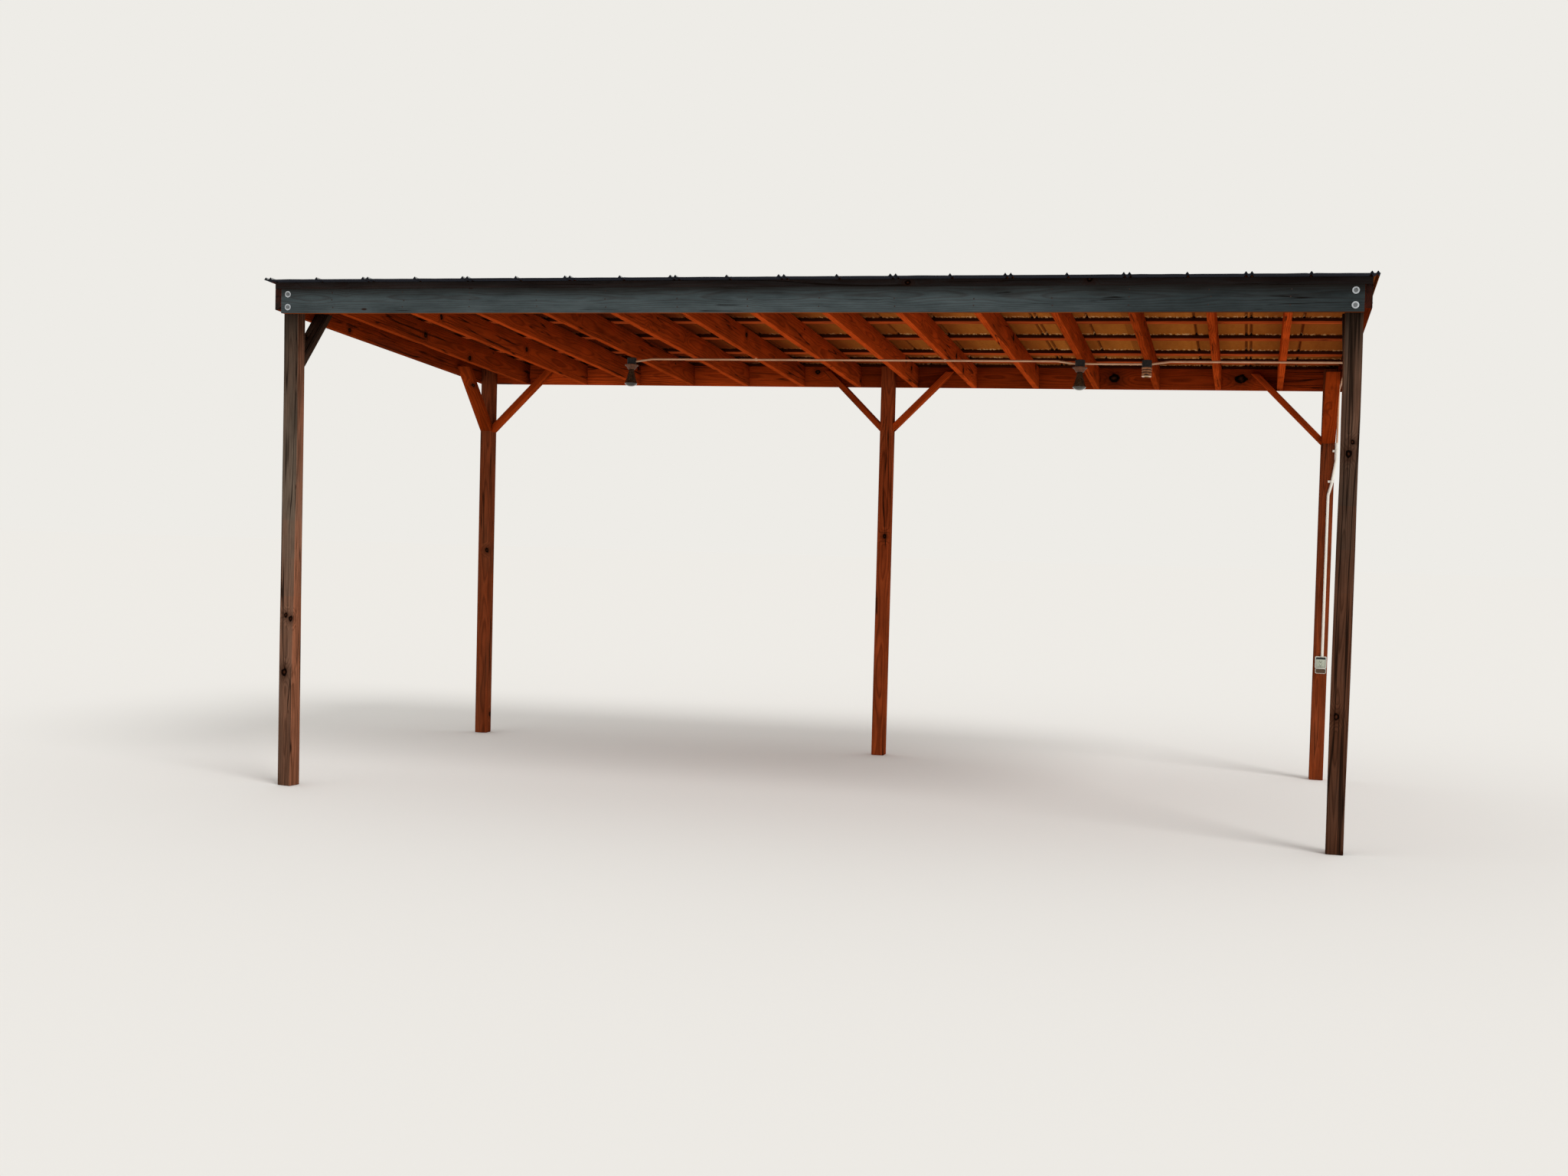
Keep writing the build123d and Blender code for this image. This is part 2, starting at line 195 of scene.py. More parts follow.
def pine(name, early, late, grey, cracks=0.5, crack_lines=24, gape=1.0, drip_and_shade=None):
    """Sawn pine: early and late wood, the grey it weathers to, and how cracked it is.

    crack_lines is how many cracks there may be in a metre across the board, and gape widens them.
    The last argument is the span of heights near the top that drip stains and painted shade darken.
    """
    made, tree, shader = start_material(name)
    grain = add(tree, "Attribute", (), "Vector", attribute_name="grain")
    tone, weather = (add(tree, "Attribute", (), "Fac", attribute_name=layer)
                     for layer in ("tone", "weather"))
    noises = grain_noises(tree, grain, crack_lines)
    fibres, patches = noises["fibres"], noises["patches"]
    away = nearest_knot(tree, grain, noises["knot rims"])
    rings = year_rings(tree, grain, noises["ring drift"], away)

    # weathered wood: grey with faint rings, where the face is exposed, in long patches
    faint = add(tree, "Math", (rings, 0.35), operation="MULTIPLY")
    old = grey
    for share, coat, blend in (
            (1.0, add(tree, "MapRange", (fibres, 0.25, 0.75, 0.8, 1.2)), TINT),
            (faint, KNOT, OVER)):
        old = add(tree, "Mix", {"Factor": share, "A": old, "B": coat}, "Result",
                  data_type="RGBA", blend_type=blend)
    uneven = add(tree, "MapRange", (patches, 0.3, 0.7, -0.25, 0.25))
    greyed = add(tree, "Math", (weather, uneven), operation="ADD")
    blotches = add(tree, "MapRange", (noises["blotches"], 0.32, 0.68, 0.7, 1.22))
    coats = [(add(tree, "Math", (rings, 0.7), operation="MULTIPLY"), late, OVER),
             (1.0, add(tree, "MapRange", (fibres, 0.25, 0.75, 0.78, 1.2)), TINT),
             (greyed, old, OVER),
             (1.0, add(tree, "Math", (blotches, tone), operation="MULTIPLY"), TINT)]
    # drip stains and the painted shade of the roof's overhang darken the span given, towards its
    # top
    if drip_and_shade:
        height = add(tree, "SeparateXYZ", (add(tree, "NewGeometry"),), "Z")
        ragged = add(tree, "MapRange", (patches, 0.3, 0.7, -20 * MM, 20 * MM))
        height = add(tree, "Math", (height, ragged), operation="ADD")
        coats.append((add(tree, "MapRange", (height, *drip_and_shade, 0.0, 0.75)), "#211710", OVER))

    # cracks: thin contours of a noise that is drawn out along the grain, where patches allow
    off_line = add(tree, "Math", (noises["cracks"], 0.5), operation="SUBTRACT")
    off_line = add(tree, "Math", (off_line,), operation="ABSOLUTE")
    line = add(tree, "MapRange", (off_line, 0.006 * gape, 0.024 * gape, 1.0, 0.0))
    open_here = add(tree, "MapRange", (patches, 0.66 - 0.3 * cracks, 0.7 - 0.3 * cracks, 0.0, 0.85))
    crack = add(tree, "Math", (line, open_here), operation="MULTIPLY")

    # knots: a halo, a dark rim round a brown heart, and small pin knots
    heart = add(tree, "ValToRGB", (away,), stops=((0.0, "#46281a"), (0.4, KNOT),
                                                  (0.65, "#0a0504"), (1.0, "#0d0705")))
    space = add(tree, "VectorMath", (grain, per_metre(*PIN_KNOTS)), operation="MULTIPLY")
    pins = add(tree, "TexVoronoi", {"Vector": space, "Scale": 1.0}, "Distance")
    coats += [(crack, "#130c08", OVER),
              (add(tree, "MapRange", (away, 1.1, 3.4, 0.55, 0.0)), KNOT, OVER),
              (add(tree, "MapRange", (away, 1.0, 1.25, 1.0, 0.0)), heart, OVER),
              (add(tree, "MapRange", (pins, 0.035, 0.06, 0.85, 0.0)), KNOT, OVER)]
    wood = early
    for share, coat, blend in coats:
        wood = add(tree, "Mix", {"Factor": share, "A": wood, "B": coat}, "Result",
                   data_type="RGBA", blend_type=blend)
    tree.links.new(wood, shader.inputs["Base Color"])
    shader.inputs["Roughness"].default_value = 0.8
    shader.inputs["Specular IOR Level"].default_value = 0.0

    # relief: late wood and fibres stand proud, and cracks sink in
    height = add(tree, "Math", (faint, fibres), operation="ADD")
    height = add(tree, "Math", (crack, -4.0, height), operation="MULTIPLY_ADD")
    bump = add(tree, "Bump", {"Height": height, "Strength": 0.5, "Distance": 0.6 * MM})
    tree.links.new(bump, shader.inputs["Normal"])
    return made


print("pin knots about every", round(PIN_KNOTS[0]), "mm along a board")

# %% [markdown]
# One finish for all boards would look like one dipped model. The real ones differ by how much rain,
# sun and dust they get, so each group has its own colours, which the same nodes turn to wood.

# %% Pine finishes
HEADER_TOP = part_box("front_header")[1].z
# posts in the weather: dull brown and grey, with long drying cracks
post_pine = pine("weathered_pine_post", "#8a5840", "#553221", "#625448", cracks=0.95)
# the right front post has dried the fastest: its cracks are closer and stand open
checked_pine = pine("checked_pine_post", "#8a5840", "#553221", "#625448", cracks=1.15,
                    crack_lines=34, gape=2.2)
# posts in the shade keep the red of the fresh wood
back_pine = pine("red_brown_pine_post", "#934220", "#5c2410", "#6e4630", cracks=0.6)
# the header has silvered to a cold grey, and is darker near its top with drip stains and the
# painted shade of the roof's overhang
header_pine = pine("silvered_pine_header", "#93481a", "#5f280d", "#454e50", cracks=0.3,
                   drip_and_shade=(HEADER_TOP - 60 * MM, HEADER_TOP))
# the strip under the sheets' edge is nearly black: painted shade of the overhanging sheets
strip_pine = pine("pine_strip_painted_overhang_shade", "#4d3020", "#301c12", "#2d2827")
# rafters, beam and braces are dry, and glow a deep red-brown
rafter_pine = pine("red_brown_pine_rafter", "#a03c12", "#6a2208", "#6a2c10", cracks=0.4)
# the end rafters are the same wood; their outer faces are weathered, and darkened to nearly black
# as painted shade
end_pine = pine("end_rafter_pine", "#a03c12", "#6a2208", "#2e2a28", cracks=0.7)
# purlins are a paler orange, and the edge that faces the front is darkened as painted shade
purlin_pine = pine("orange_brown_pine_purlin", "#bb5023", "#8a3313", "#6e4630", cracks=0.3)
shaded_pine = pine("purlin_edge_painted_shade", "#451c0e", "#2c0f06", "#3a2016", cracks=0.2)
print("pine finishes, from", post_pine.name, "to", shaded_pine.name)

# %% [markdown]
# ## Boards with eased edges
#
# A sawmill rounds the corners of construction timber, and a board is never dead straight. A box
# with a bevel would do for a square one, but here the ends, notches and bevels differ, so each
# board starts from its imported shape. Its own faces and edges tell which way it runs. The carport
# rides on one body, so every finished piece does too.

# %% Board helpers
# without these, the warp of the boards would be new on each run
random.seed(7)
noise.seed_set(7)
EASE = 3 * MM
WARP = 1.2 * MM
SECTION = 0.22
SHARP_CORNER = 0.4
WAVES_PER_METRE = 0.9


def board_axes(mesh):
    """Unit vectors along, across and through a board, from its own faces and edges."""
    along = max(((mesh.vertices[e.vertices[1]].co - mesh.vertices[e.vertices[0]].co)
                 for e in mesh.edges), key=lambda edge: edge.length).normalized()
    along = along if max(along, key=abs) > 0 else -along
    areas = {}
    for face in mesh.polygons:
        if abs(face.normal.dot(along)) < 0.02:
            normal = face.normal if max(face.normal, key=abs) > 0 else -face.normal
            key = tuple(round(c, 2) for c in normal)
            areas[key] = areas.get(key, 0) + face.area
    through = Vector(max(areas, key=areas.get))
    through = (through - along * through.dot(along)).normalized()
    return along, through.cross(along), through


def merged_faces(node):
    """The node's shape with its triangles merged into flat faces."""
    shape = bmesh.new()
    shape.from_mesh(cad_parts[node].data)
    bmesh.ops.remove_doubles(shape, verts=shape.verts, dist=0.01 * MM)
    bmesh.ops.dissolve_limit(shape, angle_limit=math.radians(0.5), verts=shape.verts,
                             edges=shape.edges)
    return shape


def finish_piece(name, shape, material, replaces=(), smooth_angle=40):
    """Turns a bmesh into a piece that rides on the carport."""
    mesh = bpy.data.meshes.new(name)
    shape.to_mesh(mesh)
    shape.free()
    piece = bpy.data.objects.new(name, mesh)
    bpy.context.scene.collection.objects.link(piece)
    for one in material if isinstance(material, (list, tuple)) else [material]:
        mesh.materials.append(one)
    mesh.shade_smooth()
    mesh.set_sharp_from_angle(angle=math.radians(smooth_angle))
    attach(piece, "root")
    if replaces:
        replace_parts(piece, *replaces)
    return piece


def eased(place, steps):
    """The value at a place, eased between pairs of place and value."""
    if place <= steps[0][0]:
        return steps[0][1]
    for (z0, a0), (z1, a1) in zip(steps, steps[1:]):
        if place <= z1:
            t = (place - z0) / (z1 - z0)
            return a0 + (a1 - a0) * t * t * (3 - 2 * t)
    return steps[-1][1]


print("boards are cut every", SECTION, "m and eased by", round(EASE / MM), "mm")

# %% [markdown]
# Modifiers could bend and bevel the boards, but the wood pattern has to bend with them. So the mesh
# is cut into lengths and its corners are rounded, then the grain coordinates are stored, and only
# then a slow noise pushes every point by about a millimetre. Posts may also twist about their own
# length, as boxed-heart pine does when it dries.

# %% The board builder
def cut_and_ease(shape, middle, along, start, end, ease):
    """Cuts a board into lengths that can bend, and rounds its corners."""
    sections = max(2, round((end - start) / SECTION))
    for cut in range(1, sections):
        point = middle + along * (start + (end - start) * cut / sections)
        everything = shape.verts[:] + shape.edges[:] + shape.faces[:]
        bmesh.ops.bisect_plane(shape, geom=everything, plane_co=point, plane_no=along)
    sharp = [e for e in shape.edges if e.is_manifold and e.calc_face_angle() > SHARP_CORNER]
    bmesh.ops.bevel(shape, geom=sharp, offset=ease, segments=2, affect="EDGES", profile=0.6,
                    clamp_overlap=True)


def board(node, material, slot, pith=(0.0, 55 * MM), ease=EASE, warp=WARP, twist=(), tone=1.0,
          exposed=None, sunny=None, weather=0.0, knots=(), knot_size=11 * MM):
    """A packed board with eased edges, a little warp, and its own grain, knots and weather.

    pith is where the log's heart lies, across and through the board, from its middle.
    twist lists pairs of height and angle in degrees, for a post that has turned as it dried.
    tone and weather are numbers, or pairs of place along the board and number.
    exposed is the direction that the board's weathered side faces, and how much greyer it is.
    sunny is the direction of a side with painted light on it, and how much paler it is.
    knots are points on the board's surface, with a fourth number where one has its own size; a
    board with fewer than three gets others at random.
    """
    shape = merged_faces(node)
    flat = bpy.data.meshes.new("flat")
    shape.to_mesh(flat)
    along, across, through = board_axes(flat)
    bpy.data.meshes.remove(flat)
    low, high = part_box(node)
    middle = (low + high) / 2
    reach = [[(v.co - middle).dot(axis) for v in shape.verts] for axis in (along, across, through)]
    start, end = min(reach[0]), max(reach[0])
    cut_and_ease(shape, middle, along, start, end, ease)

    # where this board was cut from its log, and its knots there
    shift = Vector((random.uniform(0, 40), random.uniform(-0.02, 0.02) - pith[0],
                    random.choice((-1, 1)) * (pith[1] + random.uniform(0, 0.02))))

    def own(point):
        away = point - middle
        return Vector((away.dot(along), away.dot(across), away.dot(through))) + shift

    spots = [own(Vector(knot[:3])) for knot in knots]
    sizes = [knot[3] if len(knot) > 3 else knot_size for knot in knots] + [knot_size] * 3
    while len(spots) < 3:
        side = random.choice((min(reach[2]), max(reach[2])))
        spots.append(shift + Vector((random.uniform(start, end),
                                     random.uniform(0.8 * min(reach[1]), 0.8 * max(reach[1])),
                                     side)))

    # tone and weather, face by face; the paler side is painted light
    tones = tone if isinstance(tone, tuple) else ((0.0, tone * random.uniform(0.94, 1.06)),)
    grey = weather if isinstance(weather, tuple) else ((0.0, weather),)
    tone_layer = shape.loops.layers.float.new("tone")
    size_layer = shape.verts.layers.float_vector.new("knot_sizes")
    grain_layer = shape.verts.layers.float_vector.new("grain")
    knot_layers = [shape.verts.layers.float_vector.new(f"knot_{n}") for n in (1, 2, 3)]
    weather_layer = shape.faces.layers.float.new("weather")
    for face in shape.faces:
        toward = max(0.0, face.normal.dot(exposed[0])) * exposed[1] if exposed else 0.0
        face[weather_layer] = eased(face.calc_center_median().dot(along), grey) + toward
        paler = max(0.0, face.normal.dot(sunny[0])) * sunny[1] if sunny else 0.0
        for corner in face.loops:
            corner[tone_layer] = eased(corner.vert.co.dot(along), tones) * (1 + paler)

    # grain is stored before the board bends and twists
    seed = Vector((random.uniform(0, 90), random.uniform(0, 90), random.uniform(0, 90)))
    for v in shape.verts:
        v[grain_layer] = own(v.co)
        for layer, spot in zip(knot_layers, spots):
            v[layer] = spot
        v[size_layer] = sizes[:3]
        push = noise.noise_vector(seed + along * (v.co - middle).dot(along) * WAVES_PER_METRE)
        v.co += (across * push.y + through * push.z) * warp
        if twist:
            turn = math.radians(eased(v.co.z, twist))
            centre = Vector((middle.x, middle.y, v.co.z))
            v.co = centre + Matrix.Rotation(turn, 3, "Z") @ (v.co - centre)
    return finish_piece(node + "_board", shape, material, (node,))


print("a 3 m board bends over", round(3 / SECTION), "lengths")

# %% [markdown]
# ## The posts
#
# Five square posts, each sawn round the heart of a small log, carry the carport. The front ones
# have twisted the most: the left one shows more and more of its inner side towards the ground, and
# the right one has turned a few degrees halfway up. Their fronts are the greyest. The right one is
# darker all over as painted shade, both are darker near the header as painted shade of the roof,
# and the left one has painted sunlight on its right side. The back posts stand in the shade and
# stay red-brown. Painting each post would fix its look for one view only, so what differs is given
# as a few heights with their twist, tone and grey, and the board builder eases between them.

# %% Posts
HEADER_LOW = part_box("front_header")[0].z
FRONT, BACK = Vector((0, -1, 0)), Vector((0, 1, 0))
RIGHT, DOWN = Vector((1, 0, 0)), Vector((0, 0, -1))
front_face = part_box("post_front_left")[0].y
shaded_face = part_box("post_back_left")[0].y
boxed_heart = {"slot": "post_timber", "pith": (8 * MM, 0.0), "ease": 5 * MM}
# the tone falls near the header as painted shade of the roof, and the right side is paler as
# painted sunlight
board("post_front_left", post_pine, warp=2 * MM,
      twist=((0.0, -11.0), (0.7, -7.0), (1.3, 0.0), (HEADER_LOW - 0.25, 3.0), (HEADER_LOW, 0.0)),
      tone=((0.3, 0.68), (1.1, 0.98), (1.6, 1.1), (2.3, 0.84), (2.66, 0.38)),
      exposed=(FRONT, 0.6), sunny=(RIGHT, 0.32), weather=((0.9, -0.15), (1.3, 0.1), (1.9, 0.35)),
      knots=((-2.968, front_face, 1.006, 10 * MM), (-2.935, front_face, 0.985, 12 * MM),
             (-2.973, front_face, 0.67, 16 * MM)), **boxed_heart)
# a low tone all over is painted shade, falling further near the header as painted shade of the roof
board("post_front_right", checked_pine, warp=2 * MM,
      twist=((0.0, -2.0), (0.9, -8.0), (1.5, -7.0), (HEADER_LOW - 0.4, 2.0), (HEADER_LOW, 0.0)),
      tone=((0.3, 0.34), (0.8, 0.45), (1.4, 0.44), (1.75, 0.38), (2.05, 0.6), (2.35, 0.7),
            (2.62, 0.5), (2.68, 0.3)),
      exposed=(FRONT, 0.6), weather=((0.9, -0.5), (1.5, -0.3), (1.9, 0.1)),
      knots=((2.977, front_face, 2.108, 9 * MM), (2.962, front_face, 2.046, 14 * MM),
             (2.955, front_face, 0.71, 13 * MM)), **boxed_heart)
for side, low_tone, high_tone, weather, knots in (
        ("left", 0.95, 0.8, 0.35, ((-2.941, shaded_face, 1.346),)),
        ("middle", 1.15, 0.95, -0.2, ()), ("right", 0.85, 0.7, 0.2, ())):
    board(f"post_back_{side}", back_pine, warp=1 * MM, tone=((0.8, low_tone), (2.2, high_tone)),
          exposed=(BACK, 0.7), weather=weather, knots=knots, **boxed_heart)
print("the front posts stand", round(HEADER_LOW, 3), "m high under the header")

# %% [markdown]
# ## Header, strip and beam
#
# The header is bolted across the front posts, with a thin strip on top that the sheets rest on, and
# the beam joins the back posts. Only the outer face of the header meets the weather, and it has
# silvered to a blue grey. The beam shows three big dark knots, which are placed one by one because
# everyone sees them; small ones elsewhere can fall where they like.

# %% Header, strip and beam
header_low, header_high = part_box("front_header")
beam_low, beam_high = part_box("back_beam")
knot_line = beam_low.z + 75 * MM
board("front_header", header_pine, "header_timber", exposed=(FRONT, 1.25),
      tone=((-3.0, 1.05), (0.8, 1.15), (2.4, 0.58)))
board("eave_strip", strip_pine, "frame_timber", ease=2 * MM, exposed=(FRONT, 1.1),
      tone=((-3.0, 1.0), (3.0, 0.7)))
# the tone dips around the middle as painted shade behind the middle post
board("back_beam", rafter_pine, "frame_timber", exposed=(BACK, 0.8),
      tone=((-0.9, 1.45), (-0.1, 0.7), (0.5, 0.72), (1.4, 0.85), (2.2, 0.9), (2.9, 1.05)),
      knots=((1.56, beam_low.y, knot_line, 24 * MM), (2.395, beam_low.y, knot_line, 26 * MM),
             (-0.502, beam_low.y, knot_line + 30 * MM, 13 * MM)))
print("header", round((header_high.z - header_low.z) / MM), "mm deep")

# %% [markdown]
# ## The rafters
#
# Sixteen rafters run from the header to the beam. Copies of one board would show at once, so each
# is dressed on its own and has its own tone from left to right, which is also painted shade: darker
# on the left, and darkest on the right end rafter. The outer faces of the two end ones have
# weathered, and are darkened further as painted shade. The undersides carry painted light, paler on
# the left and in the middle, and darker to the right.

# %% Rafters
rafters = ["end_rafter_left"] + [f"rafter_{n:02d}" for n in range(1, 15)] + ["end_rafter_right"]
rafter_x = [(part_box(name)[0].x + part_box(name)[1].x) / 2 for name in rafters]
# the tones are partly painted shade: lower on the left, and lowest for the right end rafter
rafter_tones = (0.65, 0.77, 0.97, 0.88, 0.82, 0.95, 1.0, 1.0, 1.2, 1.1, 1.08, 0.88, 0.8, 1.06, 1.28,
                0.36)
for name, x, tone in zip(rafters, rafter_x, rafter_tones):
    end = name.startswith("end")
    outward = (Vector((math.copysign(1, x), -1, 0)).normalized(), 1.3) if end else None
    # the undersides get painted light from below, and the end rafters' outer faces painted shade
    board(name, end_pine if end else rafter_pine, "frame_timber", tone=tone, exposed=outward,
          sunny=(DOWN, 0.0 if end else eased(x, ((0.8, 0.4), (2.2, 0.05)))),
          knot_size=random.uniform(9, 16) * MM)
print("rafters:", len(rafters))

# %% [markdown]
# ## Purlins and braces
#
# Six flat purlins lie across the rafters and carry the sheets, and short braces stiffen the
# corners. The purlin edges that look to the front are darkened as painted shade. A dark line could
# be worked out by distance, but the edge is a flat face of its own, so choosing it by its normal is
# simpler.

# %% Purlins and braces
for n in range(1, 7):
    purlin = board(f"purlin_{n}", purlin_pine, "purlin_timber", ease=1.5 * MM, warp=0.6 * MM)
    purlin.data.materials.append(shaded_pine)
    # faces towards the front take the edge finish, which is painted shade
    for face in purlin.data.polygons:
        face.material_index = int(face.normal.y < -0.5)
brace_tones = {"beam_brace_left": 1.1, "beam_brace_middle_left": 0.9,
               "beam_brace_middle_right": 1.2, "beam_brace_right": 1.0,
               "side_brace_back_left": 0.75, "side_brace_back_right": 0.95}
for name, tone in brace_tones.items():
    board(name, rafter_pine, "frame_timber", warp=0.4 * MM, tone=tone)
# the front braces are greyed, and darkened as painted shade
for name in ("side_brace_front_left", "side_brace_front_right"):
    board(name, post_pine, "frame_timber", warp=0.4 * MM, tone=0.3, weather=0.6)
print("purlins: 6, braces:", len(brace_tones) + 2)

# %% [markdown]
# ## Planes that the roof's parts share
#
# The sheets lie on one sloping plane. Its height comes from the top front edge of the eave strip
# and its slope from two purlins. The numbers could be typed in, but measured ones still fit if the
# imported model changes.

# %% The roof plane
strip_low, strip_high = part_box("eave_strip")
first_purlin, last_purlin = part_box("purlin_1"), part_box("purlin_6")
FALL = (first_purlin[0].z - last_purlin[0].z) / (last_purlin[0].y - first_purlin[0].y)
TILT = math.atan(FALL)
UP = Vector((0, math.sin(TILT), math.cos(TILT)))
DOWN_SLOPE = Vector((0, math.cos(TILT), -math.sin(TILT)))
EAVE = Vector((0, strip_low.y, strip_high.z))


def on_roof(x, distance, lift=0.0):
    """A point on the sheets' underside: x, distance down the slope from the eave, and lift."""
    return Vector((x, 0, 0)) + EAVE + DOWN_SLOPE * distance + UP * lift


def down_to(y):
    """Distance down the slope from the eave to the line at y."""
    return (y - EAVE.y) / math.cos(TILT)


print("roof falls", round(math.degrees(TILT), 2), "degrees")

# %% [markdown]
# ## Dust and painted shade under the roof
#
# The underside is out of the rain and keeps its dust, and its colour also carries painted shade:
# dark bays beside the rafters that brighten to the right, lines along the crimps' hollows, a dark
# ragged line where the sheets meet each purlin, and a darker front edge, all painted shade, with
# pale dust by the purlins. It could be one noise all over, but dust and shade gather at edges, so
# each kind is worked out from the distance to the rafter, crimp or purlin that it gathers at. A
# noise is only added to break the dust up and to make the lines ragged.

# %% Dust and painted shade under the roof
PURLIN_FRONTS = [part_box(f"purlin_{n}")[0].y for n in range(1, 7)]
RAFTER_PITCH = rafter_x[3] - rafter_x[2]
RAFTER_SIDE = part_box("rafter_02")[0].x - 80 * MM
PAIR_HALF = 14.5 * MM
MARGIN = 27 * MM
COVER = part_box("roof_sheet_02")[0].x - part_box("roof_sheet_01")[0].x
FIRST_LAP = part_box("roof_sheet_01")[0].x + MARGIN


def bay_shade(tree, x, y):
    """Shade beside each rafter, fading to the right, with more at the back and the right end."""
    beside = add(tree, "Math", (x, RAFTER_SIDE), operation="SUBTRACT")
    beside = add(tree, "Math", (beside, RAFTER_PITCH), operation="FLOORED_MODULO")
    bay = add(tree, "MapRange", (beside, 0.16, 0.36, 1.0, 0.0))
    fade = add(tree, "MapRange", (x, -1.2, 2.4, 1.0, 0.2))
    shade = add(tree, "Math", (bay, fade), operation="MULTIPLY")
    for place, start, end in ((y, 0.8, 1.4), (x, 2.0, 2.9)):
        far = add(tree, "MapRange", (place, start, end, 0.0, 0.5))
        shade = add(tree, "Math", (shade, far), operation="MAXIMUM")
    return shade


def crimp_hollow_shade(tree, x):
    """Painted shade in lines along the crimps' hollows, 4 mm wide and fading at 11 mm."""
    lap = add(tree, "Math", (x, FIRST_LAP), operation="SUBTRACT")
    lap = add(tree, "Math", (lap, COVER / 2), operation="PINGPONG")
    hollow_shade = 0.0
    for ridge in (PAIR_HALF, COVER / 2):
        away = add(tree, "Math", (lap, ridge), operation="SUBTRACT")
        away = add(tree, "Math", (away,), operation="ABSOLUTE")
        line = add(tree, "MapRange", (away, 4 * MM, 11 * MM, 0.6, 0.0))
        hollow_shade = add(tree, "Math", (hollow_shade, line), operation="MAXIMUM")
    return hollow_shade


def underside_dust_and_shade(tree, place):
    """The coats under the roof, of dust and painted shade: how much of each, and its colour.

    The specks in it are 17 by 71 mm, drawn out down the slope.
    """
    x, y = (add(tree, "SeparateXYZ", (place,), axis) for axis in "XY")
    space = add(tree, "VectorMath", (place, per_metre(16.667, 71.429)), operation="MULTIPLY")
    specks = add(tree, "TexNoise", {"Vector": space, "Scale": 1.0, "Detail": 3.0,
                                    "Roughness": 0.7})
    shade = bay_shade(tree, x, y)
    purlin = 9.0
    for front in PURLIN_FRONTS:
        away = add(tree, "Math", (y, front), operation="SUBTRACT")
        away = add(tree, "Math", (away,), operation="ABSOLUTE")
        purlin = add(tree, "Math", (purlin, away), operation="MINIMUM")
    dust = add(tree, "MapRange", (purlin, 30 * MM, 80 * MM, 1.0, 0.0))
    for less in ((specks, 0.5, 0.62, 0.0, 0.7), (shade, 0.2, 0.9, 1.0, 0.1)):
        dust = add(tree, "Math", (dust, add(tree, "MapRange", less)), operation="MULTIPLY")
    ragged = add(tree, "MapRange", (specks, 0.3, 0.7, -35 * MM, 25 * MM))
    ragged = add(tree, "Math", (purlin, ragged), operation="ADD")
    edge = strip_low.y
    # painted shade in the bays and along the crimps, dust, and painted shade at each purlin and
    # along the front edge
    return [(shade, "#64250e"), (crimp_hollow_shade(tree, x), "#5a2410"), (dust, "#efc286"),
            (add(tree, "MapRange", (ragged, 8 * MM, 20 * MM, 0.85, 0.0)), "#2c1408"),
            (add(tree, "MapRange", (y, edge + 2 * MM, edge + 12 * MM, 1.0, 0.0)), "#30323a")]


print("rafters every", round(RAFTER_PITCH, 4), "m, crimped sheets every", round(COVER, 3), "m")

# %% [markdown]
# ## Galvanised steel
#
# Zinc freezes on hot-dipped steel in flat crystals called spangle, 10 to 20 mm across, and each
# catches the light differently. Outdoors it dulls to a soft grey, with chalky patches and dirt that
# runs down the slope. A plain grey metal would look like a mirror here. Voronoi cells give the
# crystals, and a noise that is drawn out down the slope lays the stain over them, rougher and less
# metallic than the bare zinc, so that a little shine is left between dull streaks.

# %% Zinc finishes
def galvanised(name, bright, dull, stain, stained, roughness, spangle=14 * MM, metal=(1.0, 0.25),
               dust_and_shade=None):
    """Hot-dipped steel: two zinc greys, a stain, and how far it covers (0 to 1).

    metal is how metallic the bare zinc and the stain are, or None where dust hides the metal. The
    last argument, when given, lays more coats of dust and painted shade over them. The stain runs
    in streaks 71 mm wide and 625 mm long.
    """
    made, tree, shader = start_material(name)
    place = add(tree, "NewGeometry")
    cells = add(tree, "TexVoronoi", {"Vector": place, "Scale": 1 / spangle}, "Color")
    crystal = add(tree, "SeparateColor", (cells,), "Red")
    space = add(tree, "VectorMath", (place, per_metre(71.429, 625)), operation="MULTIPLY")
    runs = add(tree, "TexNoise", {"Vector": space, "Scale": 1.0, "Detail": 5.0,
                                  "Roughness": 0.65})
    cover = add(tree, "MapRange", (runs, 0.35, 0.68, stained - 0.3, stained + 0.3))
    colour = bright
    # under the roof, the extra coats are dust and painted shade
    for share, coat in [(crystal, dull), (cover, stain)] + (dust_and_shade(tree, place) if dust_and_shade else []):
        colour = add(tree, "Mix", {"Factor": share, "A": colour, "B": coat}, "Result",
                     data_type="RGBA")
    bump = add(tree, "Bump", {"Height": crystal, "Strength": 0.15, "Distance": 0.2 * MM})
    rough = add(tree, "MapRange", (cover, 0.0, 1.0, roughness, min(1.0, roughness + 0.3)))
    links = {"Base Color": colour, "Roughness": rough, "Normal": bump}
    if metal:
        links["Metallic"] = add(tree, "MapRange", (cover, 0.0, 1.0, *metal))
    for socket, value in links.items():
        tree.links.new(value, shader.inputs[socket])
    if dust_and_shade:
        shader.inputs["Specular IOR Level"].default_value = 0.0
    return made


# the sheets' top: dull grey with chalky runs
roof_zinc = galvanised("weathered_galvanised_sheet", "#b4b8ba", "#9ba0a2", "#8a867e", 0.35, 0.42)
# the same steel below, dusty, hiding the metal and its gloss; its tan orange is painted reflection
# of warm light from the ground
roof_under = galvanised("dusty_underside_painted_ground_reflection", "#c0742f", "#b06828", "#97561f", 0.55, 0.6,
                        metal=None, dust_and_shade=underside_dust_and_shade)
